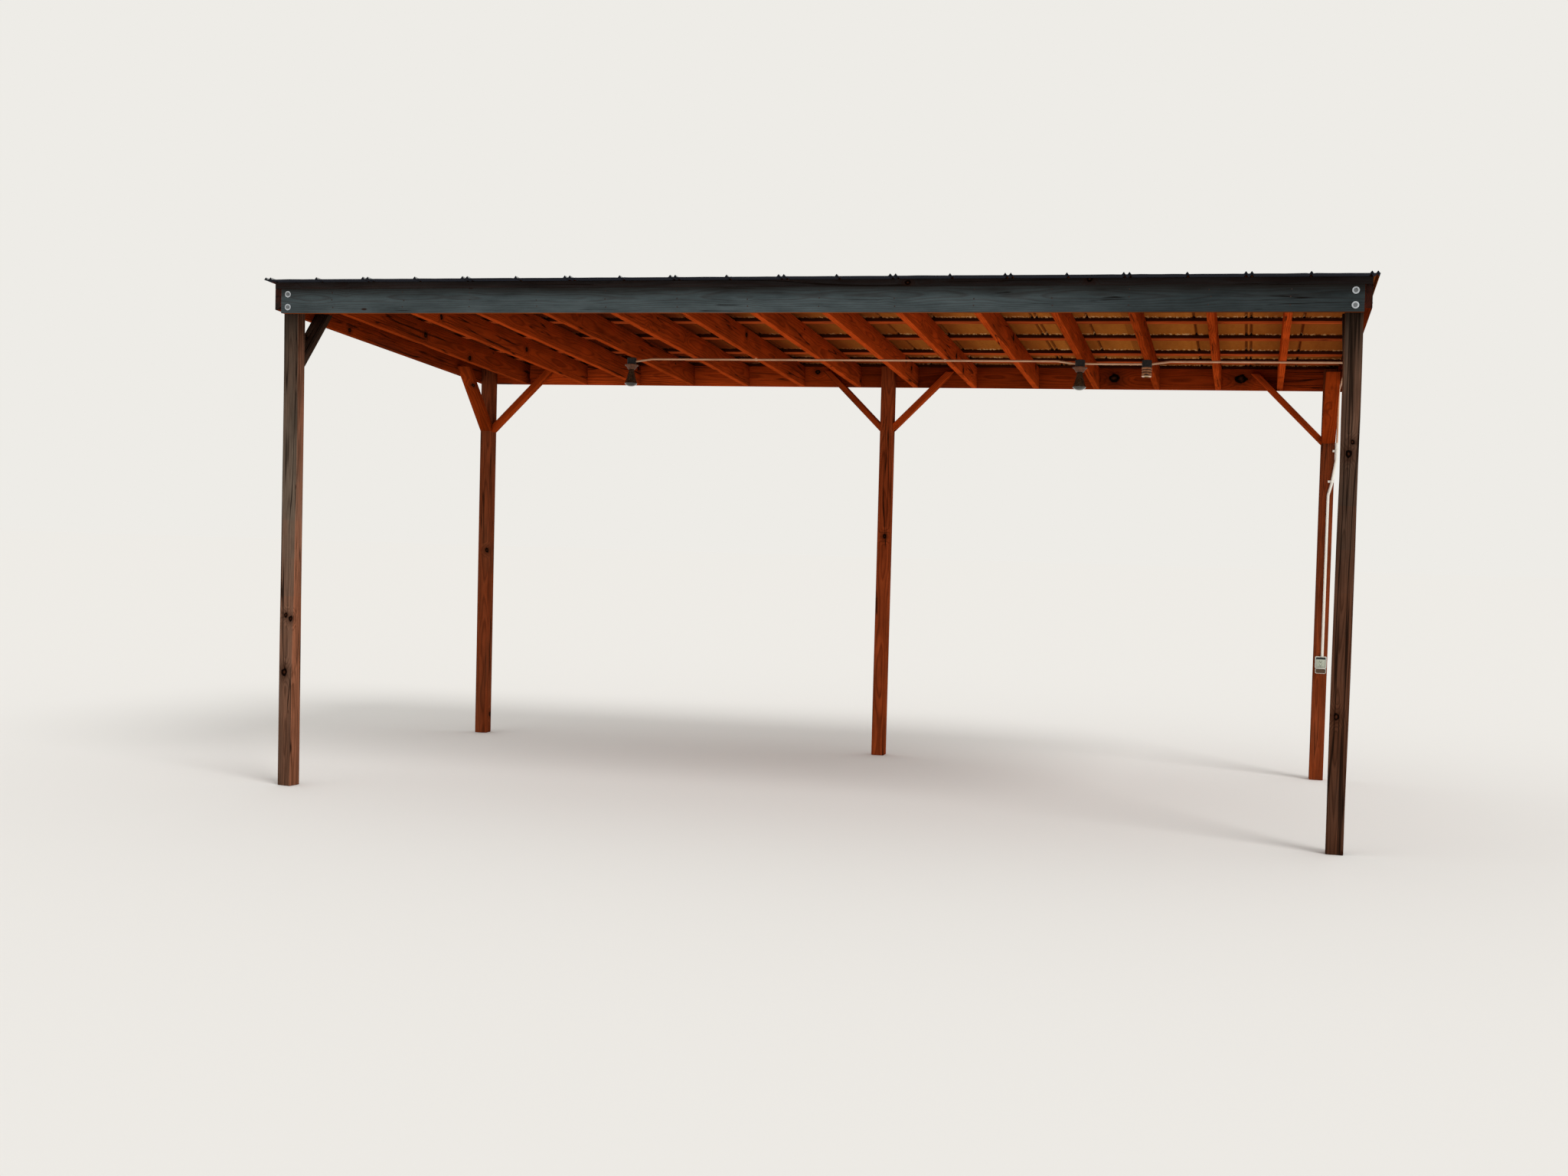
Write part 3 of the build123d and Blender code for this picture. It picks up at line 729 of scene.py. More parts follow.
# bolts are dipped in thick zinc, with crystals of a few millimetres, and their heads are duller
bolt_zinc = galvanised("hot_dipped_bolt_zinc", "#d3d8de", "#bcc2c8", "#9a9a96", 0.1, 0.4, 4 * MM)
head_zinc = galvanised("dull_bolt_head_zinc", "#878d92", "#73797e", "#5e5b56", 0.3, 0.5, 4 * MM)
# thin tube has a fine bright coat: under the roof, brown with dust and a painted reflection of warm
# ground light, and outside whitened as painted sunlight
run_zinc = galvanised("dusty_tube_painted_ground_reflection", "#e2b894", "#d8ac88", "#bb8c6a", 0.4, 0.5, 3 * MM,
                      metal=(0.4, 0.0))
drop_zinc = galvanised("galvanised_tube_painted_sunlight", "#f9f6ee", "#f0ece1", "#dad3c4", 0.15, 0.4,
                       3 * MM, metal=(0.4, 0.1))
print("zinc finishes, from", roof_zinc.name, "to", drop_zinc.name)

# %% [markdown]
# ## The crimped roof sheets
#
# A five-crimp sheet has a pair of small V ridges along each edge and one ridge in the middle. The
# next sheet laps over the pair, so the joint sheds water. A flat plane with bumps painted on would
# look flat at the eave, where the ridges show as a zigzag, so each sheet is its real cross-section,
# swept down the slope. It is lifted by about one thickness where it lies on its neighbour, and its
# free edges ripple a little, because thin sheet is never quite flat.

# %% The sheet's section
SHEET = 0.6 * MM
LAP_LIFT = 1.15 * SHEET
CRIMP_HEIGHT = 12.7 * MM
CRIMP_HALF = 10 * MM
ROWS = 24
RIPPLE, EDGE_RIPPLE = 0.5 * MM, 2.5 * MM
EDGE_WIDTH = 120 * MM
sheet_names = [f"roof_sheet_{n:02d}" for n in range(1, 11)]
sheet_starts = [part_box(name)[0].x for name in sheet_names]
roof_front, roof_back = (corner.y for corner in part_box("roof_sheet_01"))
SHEET_TOP = down_to(roof_front)
SHEET_END = down_to(roof_back - 1 * MM)


def crimps_of(start):
    """Centre lines of a sheet's five ridges."""
    left, right = start + MARGIN, start + MARGIN + COVER
    return [left - PAIR_HALF, left + PAIR_HALF, (left + right) / 2, right - PAIR_HALF,
            right + PAIR_HALF]


def stations_of(start, crimps):
    """Places across a sheet that get points: many on the ridges, few between them."""
    stations = {start, start + COVER + 2 * MARGIN}
    for c in crimps:
        for step in (-1.25, -1.0, -0.8, -0.5, -0.2, -0.08, 0, 0.08, 0.2, 0.5, 0.8, 1.0, 1.25):
            stations.add(c + step * CRIMP_HALF)
    for n in range(1, 12):
        stations.add(start + n * COVER / 12)
    return sorted(stations)


def sheet_height(x, distance, start, crimps):
    """How far a sheet stands off the roof plane: its ridges, its lap and its ripple.

    The ripple's waves are 170 mm wide and 450 mm long, and deepest at the free edges.
    """
    nearest = min(abs(x - c) for c in crimps)
    t = max(0.0, 1 - nearest / CRIMP_HALF)
    ridge = CRIMP_HEIGHT * (t - 0.06 * math.sin(2 * math.pi * t) * (1 - t))
    lap = max(0.0, min(1.0, (start + 2.6 * MARGIN - x) / (0.6 * MARGIN)))
    lap *= start > sheet_starts[0]
    free = max(0.0, 1 - min(distance - SHEET_TOP, SHEET_END - distance) / EDGE_WIDTH)
    ripple = noise.noise(Vector((x * 6, distance * 2.2, 3.1))) * (RIPPLE + EDGE_RIPPLE * free)
    return ridge + 0.1 * MM + lap * LAP_LIFT + abs(ripple) * (nearest > 1.3 * CRIMP_HALF)


print("sheet length", round(SHEET_END - SHEET_TOP, 3), "m")

# %% [markdown]
# The underside of a sheet is made first and copied up by its thickness. A solidify modifier would
# do that too, but it moves points along their normals, and the ridges would grow uneven.

# %% Roof sheets
def roof_sheet(name, start):
    """One crimped sheet, zinc on top, and below dusty with painted shade and painted reflection."""
    crimps = crimps_of(start)
    stations = stations_of(start, crimps)
    shape = bmesh.new()
    grid = []
    for row in range(ROWS + 1):
        distance = SHEET_TOP + (SHEET_END - SHEET_TOP) * row / ROWS
        grid.append([shape.verts.new(on_roof(x, distance, sheet_height(x, distance, start, crimps)))
                     for x in stations])
    for upper, lower in zip(grid, grid[1:]):
        for n in range(len(stations) - 1):
            shape.faces.new((upper[n], lower[n], lower[n + 1], upper[n + 1]))
    bmesh.ops.recalc_face_normals(shape, faces=shape.faces)
    if sum(f.normal.z for f in shape.faces) < 0:
        bmesh.ops.reverse_faces(shape, faces=shape.faces)
    for face in shape.faces:
        face.material_index = 1
    top = bmesh.ops.duplicate(shape, geom=shape.verts[:] + shape.edges[:] + shape.faces[:])
    top_faces = {g for g in top["geom"] if isinstance(g, bmesh.types.BMFace)}
    for v in (g for g in top["geom"] if isinstance(g, bmesh.types.BMVert)):
        v.co += UP * SHEET
    for face in top_faces:
        face.material_index = 0
    bmesh.ops.reverse_faces(shape, faces=[f for f in shape.faces if f not in top_faces])
    bmesh.ops.bridge_loops(shape, edges=[e for e in shape.edges if e.is_boundary])
    return finish_piece(name + "_crimped", shape, [roof_zinc, roof_under], (name,), 35)


for name, start in zip(sheet_names, sheet_starts):
    roof_sheet(name, start)
print("roof sheets:", len(sheet_names))

# %% [markdown]
# ## Bolts, screws and nails
#
# A carport is held by hundreds of fasteners. Ready-made cylinders would have hard edges and no
# crown, so one helper turns an outline about its axis, as on a lathe. Another stamps copies of the
# result into a single mesh, so that each kind of fastener is one piece and not a hundred.

# %% Turned shapes and stamped copies
def turned(profile, segments=24):
    """A bmesh made by turning pairs of radius and height, in millimetres, about Z."""
    shape = bmesh.new()
    rings = []
    for radius, height in profile:
        angles = [2 * math.pi * n / segments for n in range(segments if radius else 1)]
        rings.append([shape.verts.new((radius * MM * math.cos(a), radius * MM * math.sin(a),
                                       height * MM)) for a in angles])
    for lower, upper in zip(rings, rings[1:]):
        for n in range(segments):
            corners = [lower[n % len(lower)], lower[(n + 1) % len(lower)],
                       upper[(n + 1) % len(upper)], upper[n % len(upper)]]
            unique = list(dict.fromkeys(corners))
            if len(unique) > 2:
                shape.faces.new(unique)
    bmesh.ops.recalc_face_normals(shape, faces=shape.faces)
    return shape


def facing(direction, spin=0.0):
    """A rotation that turns +Z to face a direction."""
    return Vector(direction).to_track_quat("Z", "Y").to_matrix().to_4x4() @ Matrix.Rotation(
        spin, 4, "Z")


def stamped(name, stamp, places, material):
    """Copies of a shape at each (position, rotation), joined in one piece."""
    mesh = bpy.data.meshes.new("stamp")
    stamp.to_mesh(mesh)
    stamp.free()
    shape = bmesh.new()
    for position, rotation in places:
        mesh.transform(Matrix.Translation(position) @ rotation)
        shape.from_mesh(mesh)
        mesh.transform((Matrix.Translation(position) @ rotation).inverted())
    bpy.data.meshes.remove(mesh)
    return finish_piece(name, shape, material, smooth_angle=30)


def joined(*shapes):
    """One bmesh from several."""
    whole = bmesh.new()
    for part in shapes:
        mesh = bpy.data.meshes.new("part")
        part.to_mesh(mesh)
        part.free()
        whole.from_mesh(mesh)
        bpy.data.meshes.remove(mesh)
    return whole


def hex_head(across_flats, thickness, base):
    """A six-sided head whose corners are lightly chamfered, in millimetres."""
    corner = across_flats / math.sqrt(3)
    return turned([(corner * 0.94, base), (corner, base + 0.1 * thickness),
                   (corner, base + 0.8 * thickness), (corner * 0.86, base + thickness),
                   (0, base + thickness)], 6)


print("helpers ready: a 19 mm head is", round(19 * 2 / math.sqrt(3), 1), "mm over its corners")

# %% [markdown]
# Two galvanised bolts clamp the header to each front post, with a broad washer under each head and
# a nut behind the post. The beam hangs on the back posts in the same way. They could be one piece
# each, but heads and washers catch the light differently, so they are stamped as separate pieces.

# %% Header and beam bolts
WASHER = 18.5
HEADER_BOLTS, BEAM_BOLTS = (35 * MM, 109 * MM), (35 * MM, 105 * MM)
washer = turned([(6, 0), (WASHER, 0), (WASHER, 2), (WASHER - 0.6, 2.8), (6, 2.8), (6, 0)], 40)
head = hex_head(19, 8, 2.6)
bolt_places = []
nut_places = []
for post in ("post_front_left", "post_front_right"):
    low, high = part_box(post)
    x = (low.x + high.x) / 2
    for rise in HEADER_BOLTS:
        z = header_low.z + rise
        bolt_places.append((Vector((x, header_low.y, z)), facing(FRONT, random.random())))
        nut_places.append((Vector((x, high.y, z)), facing(BACK, random.random())))
for post in ("post_back_left", "post_back_middle", "post_back_right"):
    low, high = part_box(post)
    x = (low.x + high.x) / 2
    for rise in BEAM_BOLTS:
        bolt_places.append((Vector((x, beam_high.y, beam_low.z + rise)),
                            facing(BACK, random.random())))
stamped("bolt_washers", washer, bolt_places, bolt_zinc)
stamped("bolt_heads", head, bolt_places, head_zinc)
nut_washer = turned([(6, 0), (WASHER, 0), (WASHER, 2.8), (6, 2.8)], 40)
nut = hex_head(19, 10, 2.6)
stem = turned([(6, 10), (6, 20), (5, 21.5), (0, 21.5)], 20)
stamped("bolt_nuts", joined(nut_washer, nut, stem), nut_places, bolt_zinc)
print("bolts:", len(bolt_places), "nuts:", len(nut_places))

# %% [markdown]
# Roofing screws go through the ridges of the crimps, one at every purlin, each with a hexagonal
# head on a domed washer. On the real roof they are never in a dead straight row, so each is moved
# and spun a little at random.

# %% Roofing screws
screw = joined(turned([(8, -1.5), (8, 0.5), (6, 2), (4.5, 2.4), (0, 2.4)], 16),
               hex_head(8, 4.5, 2.2))
screw_rows = [down_to(strip_low.y + 19 * MM)]
for n in range(1, 7):
    low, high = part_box(f"purlin_{n}")
    screw_rows.append(down_to((low.y + high.y) / 2))
screw_places = []
for start in sheet_starts:
    ridges = crimps_of(start)[1:3]
    if start == sheet_starts[-1]:
        ridges.append(crimps_of(start)[4])
    for x in ridges:
        for distance in screw_rows:
            spot = on_roof(x + random.uniform(-1, 1) * MM, distance + random.uniform(-8, 8) * MM,
                           CRIMP_HEIGHT + 1.9 * MM)
            screw_places.append((spot, facing(UP, random.random())))
stamped("roofing_screws", screw, screw_places, bolt_zinc)
print("roofing screws:", len(screw_places))

# %% [markdown]
# ## Finishes of the small fittings
#
# Nails, lamps and the outlet are steel, porcelain, glass, brass, aluminium, rubber and plastic.
# Each could have its own set of nodes, but at this size what the eye sees of all of them is a
# colour that drifts between two shades, a gloss, and for some a fine relief. So one function makes
# them, and each finish gives the real size of its patches and its own roughness, IOR and metallic.

# %% Fitting finishes
def fitting_finish(name, dark, light, patch, sockets, band=(0.3, 0.7), detail=3.0, fine=0.5,
                   relief=False):
    """A finish that drifts between two colours in patches of a real size.

    sockets are the shader's own numbers, band is where the drift turns from dark to light, fine is
    how strong its small detail is, and relief adds a cast surface, 0.3 mm deep.
    """
    made, tree, shader = start_material(name)
    drift = add(tree, "TexNoise", {"Vector": add(tree, "NewGeometry"), "Scale": 1 / patch,
                                   "Detail": detail, "Roughness": fine})
    colour = add(tree, "ValToRGB", (drift,), stops=((band[0], dark), (band[1], light)))
    tree.links.new(colour, shader.inputs["Base Color"])
    for socket, value in sockets.items():
        shader.inputs[socket].default_value = value
    if relief:
        bump = add(tree, "Bump", {"Height": drift, "Strength": 0.2, "Distance": 0.3 * MM})
        tree.links.new(bump, shader.inputs["Normal"])
    return made


# bare wire nails: matt dark rust in 2 mm spots
rust = fitting_finish("rusted_nail_steel", "#1d1512", "#38271e", 2 * MM, {"Roughness": 0.85},
                      (0.35, 0.6), 4.0)
# pressed steel, painted and sooted: nearly black with a dull sheen
box_steel = fitting_finish("blackened_box_steel", "#12161a", "#2a2c28", 10 * MM,
                           {"Roughness": 0.55, "Metallic": 0.3}, (0.35, 0.7), 4.0)
# glazed porcelain: glossy cream where it is clean, rough and brown where dust has settled, and near
# black as painted shade in grooves and low on the front
dusty_glaze, cream_glaze, tan_glaze, groove_glaze = (
    fitting_finish(name, dark, light, 12 * MM, {"Roughness": roughness, "IOR": 1.5})
    for name, dark, light, roughness in (
        ("dusty_porcelain", "#4d2c1a", "#744629", 0.7),
        ("cream_porcelain", "#dcae84", "#fbe0c0", 0.35),
        ("dusty_cream_porcelain", "#8c5936", "#b97f52", 0.6),
        ("porcelain_groove_painted_shade", "#33200f", "#503222", 0.8)))
# blown glass, silvered inside and unlit: a dark body under a clear coat that still shines
bulb_glass = fitting_finish("dusty_reflector_bulb", "#231c14", "#3c3428", 20 * MM,
                            {"Roughness": 0.25, "IOR": 1.52, "Coat Weight": 0.6})
# spun brass, tarnished in the thread: a soft yellow metal
brass = fitting_finish("brass_lamp_shell", "#7a5f30", "#b0925a", 4 * MM,
                       {"Metallic": 1.0, "Roughness": 0.4})
# sand-cast and moulded surfaces, with a grain of 3 mm so that it shows; the dark rubber also stands
# for painted shade in the slots and at the top of the box, and the cover's inside is dark brown as
# painted shade
cast, gasket, moulded, shaded_cast = (
    fitting_finish(name, dark, light, 3 * MM, {"Metallic": metal, "Roughness": roughness},
                   (0.35, 0.65), 5.0, 0.7, relief=True)
    for name, dark, light, metal, roughness in (
        ("cast_aluminium_box", "#b9bbb2", "#dadbd0", 0.5, 0.5),
        ("dark_rubber_and_painted_slot_shade", "#20221f", "#2e302c", 0.0, 0.8),
        ("weathered_outlet_plastic", "#a2a897", "#c0c6b4", 0.0, 0.45),
        ("cover_inside_painted_shade", "#3b2617", "#5f4630", 0.0, 0.8)))
print("materials so far:", len(bpy.data.materials))

# %% [markdown]
# Rafters are nailed through the header and the beam, and the end rafters at both ends. The heads
# are small and slightly crowned. A dark spot in the wood's material would do from afar, but a real
# head also throws a small shadow, so they are stamped like the screws.

# %% Nails
NAIL_RISES = (35 * MM, 75 * MM, 118 * MM)
nail = turned([(0, -0.3), (4, -0.3), (4, 0.5), (3, 1), (0, 1.1)], 14)
nail_places = []
for x in rafter_x[1:-1]:
    for rise in NAIL_RISES:
        jog = Vector((random.uniform(-8, 8) * MM, 0, random.uniform(-4, 4) * MM))
        nail_places.append((Vector((x, header_low.y, header_low.z + rise)) + jog, facing(FRONT)))
        nail_places.append((Vector((x, beam_high.y, beam_low.z + rise)) + jog, facing(BACK)))
for node, corner, outward in (("end_rafter_left", 0, -RIGHT), ("end_rafter_right", 1, RIGHT)):
    for y in (header_low.y + 20 * MM, header_low.y + 70 * MM, beam_low.y - 50 * MM,
              beam_low.y + 20 * MM):
        middle = on_roof(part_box(node)[corner].x, down_to(y), -90 * MM)
        for rise in (-40 * MM, 0.0, 40 * MM):
            nail_places.append((middle + Vector((0, 0, rise)), facing(outward)))
stamped("nail_heads", nail, nail_places, rust)
print("nails:", len(nail_places))

# %% [markdown]
# ## Lamps under the rafters
#
# Each lamp is a round pressed-steel box with a porcelain lampholder under it. Two carry flood
# bulbs. All hang square to the sloping rafters, which would be awkward to model in place, so they
# are turned upright at the origin and then tilted with the roof.

# %% Lamp boxes and lampholders
BOX_RADIUS, BOX_DEEP = 30, 44
BOX_DROP = 159 * MM
box_low, box_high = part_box("lamp_boxes")
lamp_x = [box_low.x + BOX_RADIUS * MM, rafter_x[11], box_high.x - BOX_RADIUS * MM]
lamp_y = (box_low.y + box_high.y) / 2 + BOX_DEEP * MM / 2 * math.sin(TILT)
ceiling = EAVE.z - BOX_DROP / UP.z


def under_rafter(x):
    """Where a lamp hangs: Z points down, square to the sloping rafter."""
    return Vector((x, lamp_y, ceiling - FALL * (lamp_y - EAVE.y))), facing(-UP)


lamps = [under_rafter(x) for x in lamp_x]
box = turned([(0, 0), (29.2, 0), (30, 1), (30, 35), (29.2, 35.6), (29.2, 37), (30, 37.6), (30, 43),
              (29, 44), (0, 44)], 48)
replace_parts(stamped("round_lamp_boxes", box, lamps, box_steel), "lamp_boxes")
holder = turned([(20, 44), (44, 44), (45, 45.5), (44.6, 50), (41, 53), (37, 55), (31, 62),
                 (26.5, 70), (25, 73), (23.5, 74), (17.6, 74), (17.6, 70)], 56)
holders = stamped("tapered_lampholders", holder, lamps[:2], dusty_glaze)
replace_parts(holders, "lampholders")
print("lamps hang at x", [round(x, 3) for x in lamp_x])

# %% [markdown]
# The third lampholder is empty: a ribbed porcelain cup with a brass screw shell inside. Its ribs
# are clean on their edges, and it is dark as painted shade low down, more so at the front, and in
# its grooves. A noise can't follow ribs, so the faces take one of three glazes by their height on
# the cup and by how far round they are.

# %% The empty lampholder
CLEAN_RIBS = ((44, 46), (62, 66), (98, 101))
cup = turned([(12, 44), (28.6, 44), (30, 45), (30, 54), (27.6, 56), (27.6, 61), (30, 63), (30, 70),
              (27.6, 72), (27.6, 77), (30, 79), (30, 84), (30, 88), (30, 92), (30, 97),
              (28.6, 99.4), (22, 100), (20.4, 98), (20.4, 73), (0, 73)], 56)
empty = stamped("empty_lampholder", cup, lamps[2:], tan_glaze)
empty.data.materials.append(cream_glaze)
empty.data.materials.append(groove_glaze)
top, turned_down = lamps[2]
standing = (Matrix.Translation(top) @ turned_down).inverted()
forward = (standing.to_3x3() @ FRONT).normalized()
# clean rib edges take the cream glaze, and low faces towards the front the dark groove glaze, which
# is painted shade
for face in empty.data.polygons:
    spot = standing @ face.center / MM
    side = Vector((spot.x, spot.y, 0))
    off_front = side.angle(Vector((forward.x, forward.y, 0)), 0.0) if side.length > 20 else 9.0
    if any(low <= spot.z <= high for low, high in CLEAN_RIBS):
        face.material_index = 1
    elif spot.z > 84 + 12 * (off_front / 0.6) ** 2 and side.length > 28:
        face.material_index = 2
# dark bands in the grooves are painted shade
stamped("empty_lampholder_grooves", turned([(27, 53), (28.3, 53), (28.3, 80), (27, 80)], 56),
        lamps[2:], groove_glaze)
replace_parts(empty, "lampholders")
thread = [(6, 74), (13, 74)]
for turn in range(9):
    thread += [(13.4, 76 + 3 * turn), (14.3, 77.5 + 3 * turn)]
stamped("empty_lampholder_shell", turned(thread, 40), lamps[2:], brass)
print("faces on the empty lampholder:", len(empty.data.polygons))

# %% [markdown]
# The flood bulbs widen from a narrow neck to a shallow domed face. The neck follows a power curve,
# which gives the trumpet shape of blown glass with one number, where typed points would look bent.

# %% Flood bulbs
bulb = [(17, 70), (17, 76)] + [(17 + 22.6 * (n / 12) ** 1.25, 76 + 87 * n / 12)
                               for n in range(1, 13)]
bulb += [(40, 166), (39.6, 169), (36, 174), (27, 180), (14, 184.5), (0, 185.6)]
bulbs = stamped("reflector_bulbs", turned(bulb, 56), lamps[:2], bulb_glass)
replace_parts(bulbs, "flood_bulbs")
print("bulbs are", 2 * 40, "mm across")

# %% [markdown]
# ## Tubes and their straps
#
# Thin galvanised tube runs from lamp to lamp, brown under the roof with dust and painted reflection
# of warm light from the ground, and a wider one, whitened as painted sunlight, drops to the outlet.
# The imported tubes already have their bends, so they only need a finish. Bent straps hold them. A
# strap could be placed by typed numbers, but each finds its tube by slicing the imported mesh
# instead, so it fits wherever the tube leans.

# %% Tube finishes and the strap's shape
# the run's brown is partly painted reflection, and the drop's white partly painted sunlight
for name, finish in (("conduit_run", run_zinc), ("conduit_drop", drop_zinc)):
    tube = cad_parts[name]
    tube.data.materials.clear()
    tube.data.materials.append(finish)


def tube_centre(node, point, normal):
    """The middle of the slice that a plane cuts through a tube near a point."""
    shape = merged_faces(node)
    everything = shape.verts[:] + shape.edges[:] + shape.faces[:]
    cut = bmesh.ops.bisect_plane(shape, geom=everything, plane_co=point, plane_no=normal)
    near = [g.co.copy() for g in cut["geom_cut"] if isinstance(g, bmesh.types.BMVert)
            and (g.co - Vector(point)).length < 60 * MM]
    shape.free()
    corners = [[f(v[axis] for v in near) for axis in range(3)] for f in (min, max)]
    return (Vector(corners[0]) + Vector(corners[1])) / 2


def strap(radius, width, tail, both=False):
    """A strap over a tube that lies along Y on Z = 0, with a tail at -X or at both sides."""
    outline = [(-radius - tail, 0.0), (-radius - 1 * MM, 0.0), (-radius, 1 * MM)]
    outline += [(radius * math.cos(math.pi * (1 - n / 14)),
                 radius + radius * math.sin(math.pi * (1 - n / 14))) for n in range(15)]
    outline += [(radius, 1 * MM)]
    if both:
        outline += [(radius + 1 * MM, 0.0), (radius + tail, 0.0)]
    shape = bmesh.new()
    pairs = [(shape.verts.new((x, -width / 2, z)), shape.verts.new((x, width / 2, z)))
             for x, z in outline]
    for (a, b), (c, d) in zip(pairs, pairs[1:]):
        shape.faces.new((a, b, d, c))
    bmesh.ops.recalc_face_normals(shape, faces=shape.faces)
    if sum(f.normal.z for f in shape.faces) > 0:
        bmesh.ops.reverse_faces(shape, faces=shape.faces)
    bmesh.ops.solidify(shape, geom=shape.faces[:], thickness=1.4 * MM)
    return shape


print("tubes finished: 2")

# %% [markdown]
# On the post the strap has one tail, and under the rafters it has two. A coupling joins the bent
# top of the drop tube to its straight part: a pressed collar, turned like the bolts.

# %% Straps and coupling
RUN, DROP = 6.5 * MM, 9 * MM
PLAY = 0.3 * MM
STRAP_HEIGHTS = (2.17, 1.97)
post_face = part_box("post_back_right")[0].y
post_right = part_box("post_back_right")[1].x
strap_places = []
for z in STRAP_HEIGHTS:
    centre = tube_centre("conduit_drop", (post_right - 10 * MM, post_face - DROP, z), (0, 0, 1))
    strap_places.append((Vector((centre.x, post_face, z)), Matrix.Rotation(math.pi / 2, 4, "X")))
stamped("drop_straps", strap(DROP + PLAY, 14 * MM, 16 * MM), strap_places, drop_zinc)
run_places = []
for x in (rafter_x[6], rafter_x[9]):
    centre = tube_centre("conduit_run", (x, lamp_y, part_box("conduit_run")[1].z - RUN), (1, 0, 0))
    run_places.append((Vector((x, centre.y, centre.z + RUN)), facing(-UP, math.pi / 2)))
stamped("run_straps", strap(RUN + PLAY, 12 * MM, 13 * MM, both=True), run_places, run_zinc)
drop_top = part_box("conduit_drop")[1].z
joint = tube_centre("conduit_drop", (post_right + 10 * MM, post_face - DROP, drop_top - 2 * MM),
                    (0, 0, 1))
coupling = turned([(6.7, 26), (10.4, 25), (10.4, 20), (9.4, 19), (9.4, 4), (11.4, 3), (11.4, -16),
                   (10.4, -18), (8.6, -18)], 32)
stamped("tube_coupling", coupling, [(joint, Matrix.Identity(4))], drop_zinc)
print("straps:", len(strap_places) + len(run_places))

# %% [markdown]
# ## The outlet
#
# A small cast box with rounded corners is screwed to the back right post. Its gasketed plate frames
# a double outlet. Every part of it is a rounded rectangle that grows and shrinks as it comes out
# from the post, so each is a stack of outlines joined from one to the next. Boxes with bevels could
# make it too, but a lip, a recess and a rim are simply more outlines in the same stack.

# %% Rounded outlines
def rounded(width, height, radius, middle):
    """Points round a rectangle with rounded corners, in millimetres."""
    points = []
    for quarter, (sx, sz) in enumerate(((1, 1), (-1, 1), (-1, -1), (1, -1))):
        for n in range(7):
            angle = math.pi / 2 * (quarter + n / 6)
            points.append((middle[0] + sx * (width / 2 - radius) + radius * math.cos(angle),
                           middle[1] + sz * (height / 2 - radius) + radius * math.sin(angle)))
    return points


def stacked(name, place, material, size, steps, middle=(0, 0)):
    """A piece joined from rounded outlines, in millimetres.

    place is its corner and its directions across, up and out, size its width and height, and each
    step says how much larger its outline is, the corner radius, and how far out it lies.
    """
    base, across, up, out = place
    shape = bmesh.new()
    loops = [[shape.verts.new(base + (across * x + up * z + out * depth) * MM)
              for x, z in rounded(size[0] + grow, size[1] + grow, radius, middle)]
             for grow, radius, depth in steps]
    for lower, upper in zip(loops, loops[1:]):
        for n in range(len(lower)):
            m = (n + 1) % len(lower)
            shape.faces.new((lower[n], lower[m], upper[m], upper[n]))
    shape.faces.new(loops[0])
    shape.faces.new(loops[-1])
    bmesh.ops.recalc_face_normals(shape, faces=shape.faces)
    return finish_piece(name, shape, material, smooth_angle=35)


print("an outline has", len(rounded(68, 74, 7, (0, 0))), "points")

# %% [markdown]
# From the post outwards come the body with its flange, the gasket, the plate, and two faces with
# two slots and an earth hole each. The slots could be cut out, but at this size thin dark pads of
# painted shade read the same and keep the meshes clean. The dark gasket shows as a band above the
# plate, which also stands for painted shade at the top of the box.

# %% Outlet box
BODY = (68, 74)
FLANGE_OUT = 49
outlet_low, outlet_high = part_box("outlet_box")
ACROSS, RISE, OUT = Vector((1, 0, 0)), Vector((0, 0, 1)), Vector((0, -1, 0))
base = Vector(((outlet_low.x + outlet_high.x) / 2, post_face,
               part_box("conduit_drop")[0].z - BODY[1] * MM / 2))
on_post = (base, ACROSS, RISE, OUT)
body = stacked("outlet_body", on_post, cast, BODY, (
    (-4, 6, 0.2), (0, 7, 3), (0, 7, 42), (5, 8, 43), (5, 8, 47.5), (3, 7, FLANGE_OUT),
    (-7, 5, FLANGE_OUT), (-8, 5, 44)))
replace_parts(body, "outlet_box")
# the dark gasket rubber shows above the plate, standing also for painted shade at the top of the
# box
stacked("outlet_gasket", on_post, gasket, BODY, ((-8, 5, 44.2), (-9, 5, 45.4)))
stacked("outlet_plate", on_post, moulded, (58, 51), ((0, 3, 45.4), (0, 3, 46.6), (-1, 3, 47)),
        (0, -6))
for number, lift in enumerate((-18, 6), 1):
    stacked(f"outlet_face_{number}", on_post, moulded, (34, 20),
            ((0, 8, 46.5), (0, 8, 47.8), (-2, 7, 48.4)), (0, lift))
    # the slots and earth holes are dark pads of painted shade
    for hole, (x, z, *size) in enumerate(((-6.4, 2, 2.4, 8), (6.4, 2, 2.4, 7), (0, -5, 5, 5)), 1):
        stacked(f"outlet_slot_{number}_{hole}", on_post, gasket, size,
                ((0, 1.1, 48), (0, 1.1, 48.6)), (x, lift + z))
print("outlet body", BODY[0], "by", BODY[1], "mm")

# %% [markdown]
# The cover is a shallow tray with a raised rim that hangs open from a hinge at the bottom. It is
# stacked in the same way, but its "up" runs along the tilted lid, so no part of it is rotated
# afterwards. Its inside is dark brown as painted shade and has a pad of its own.

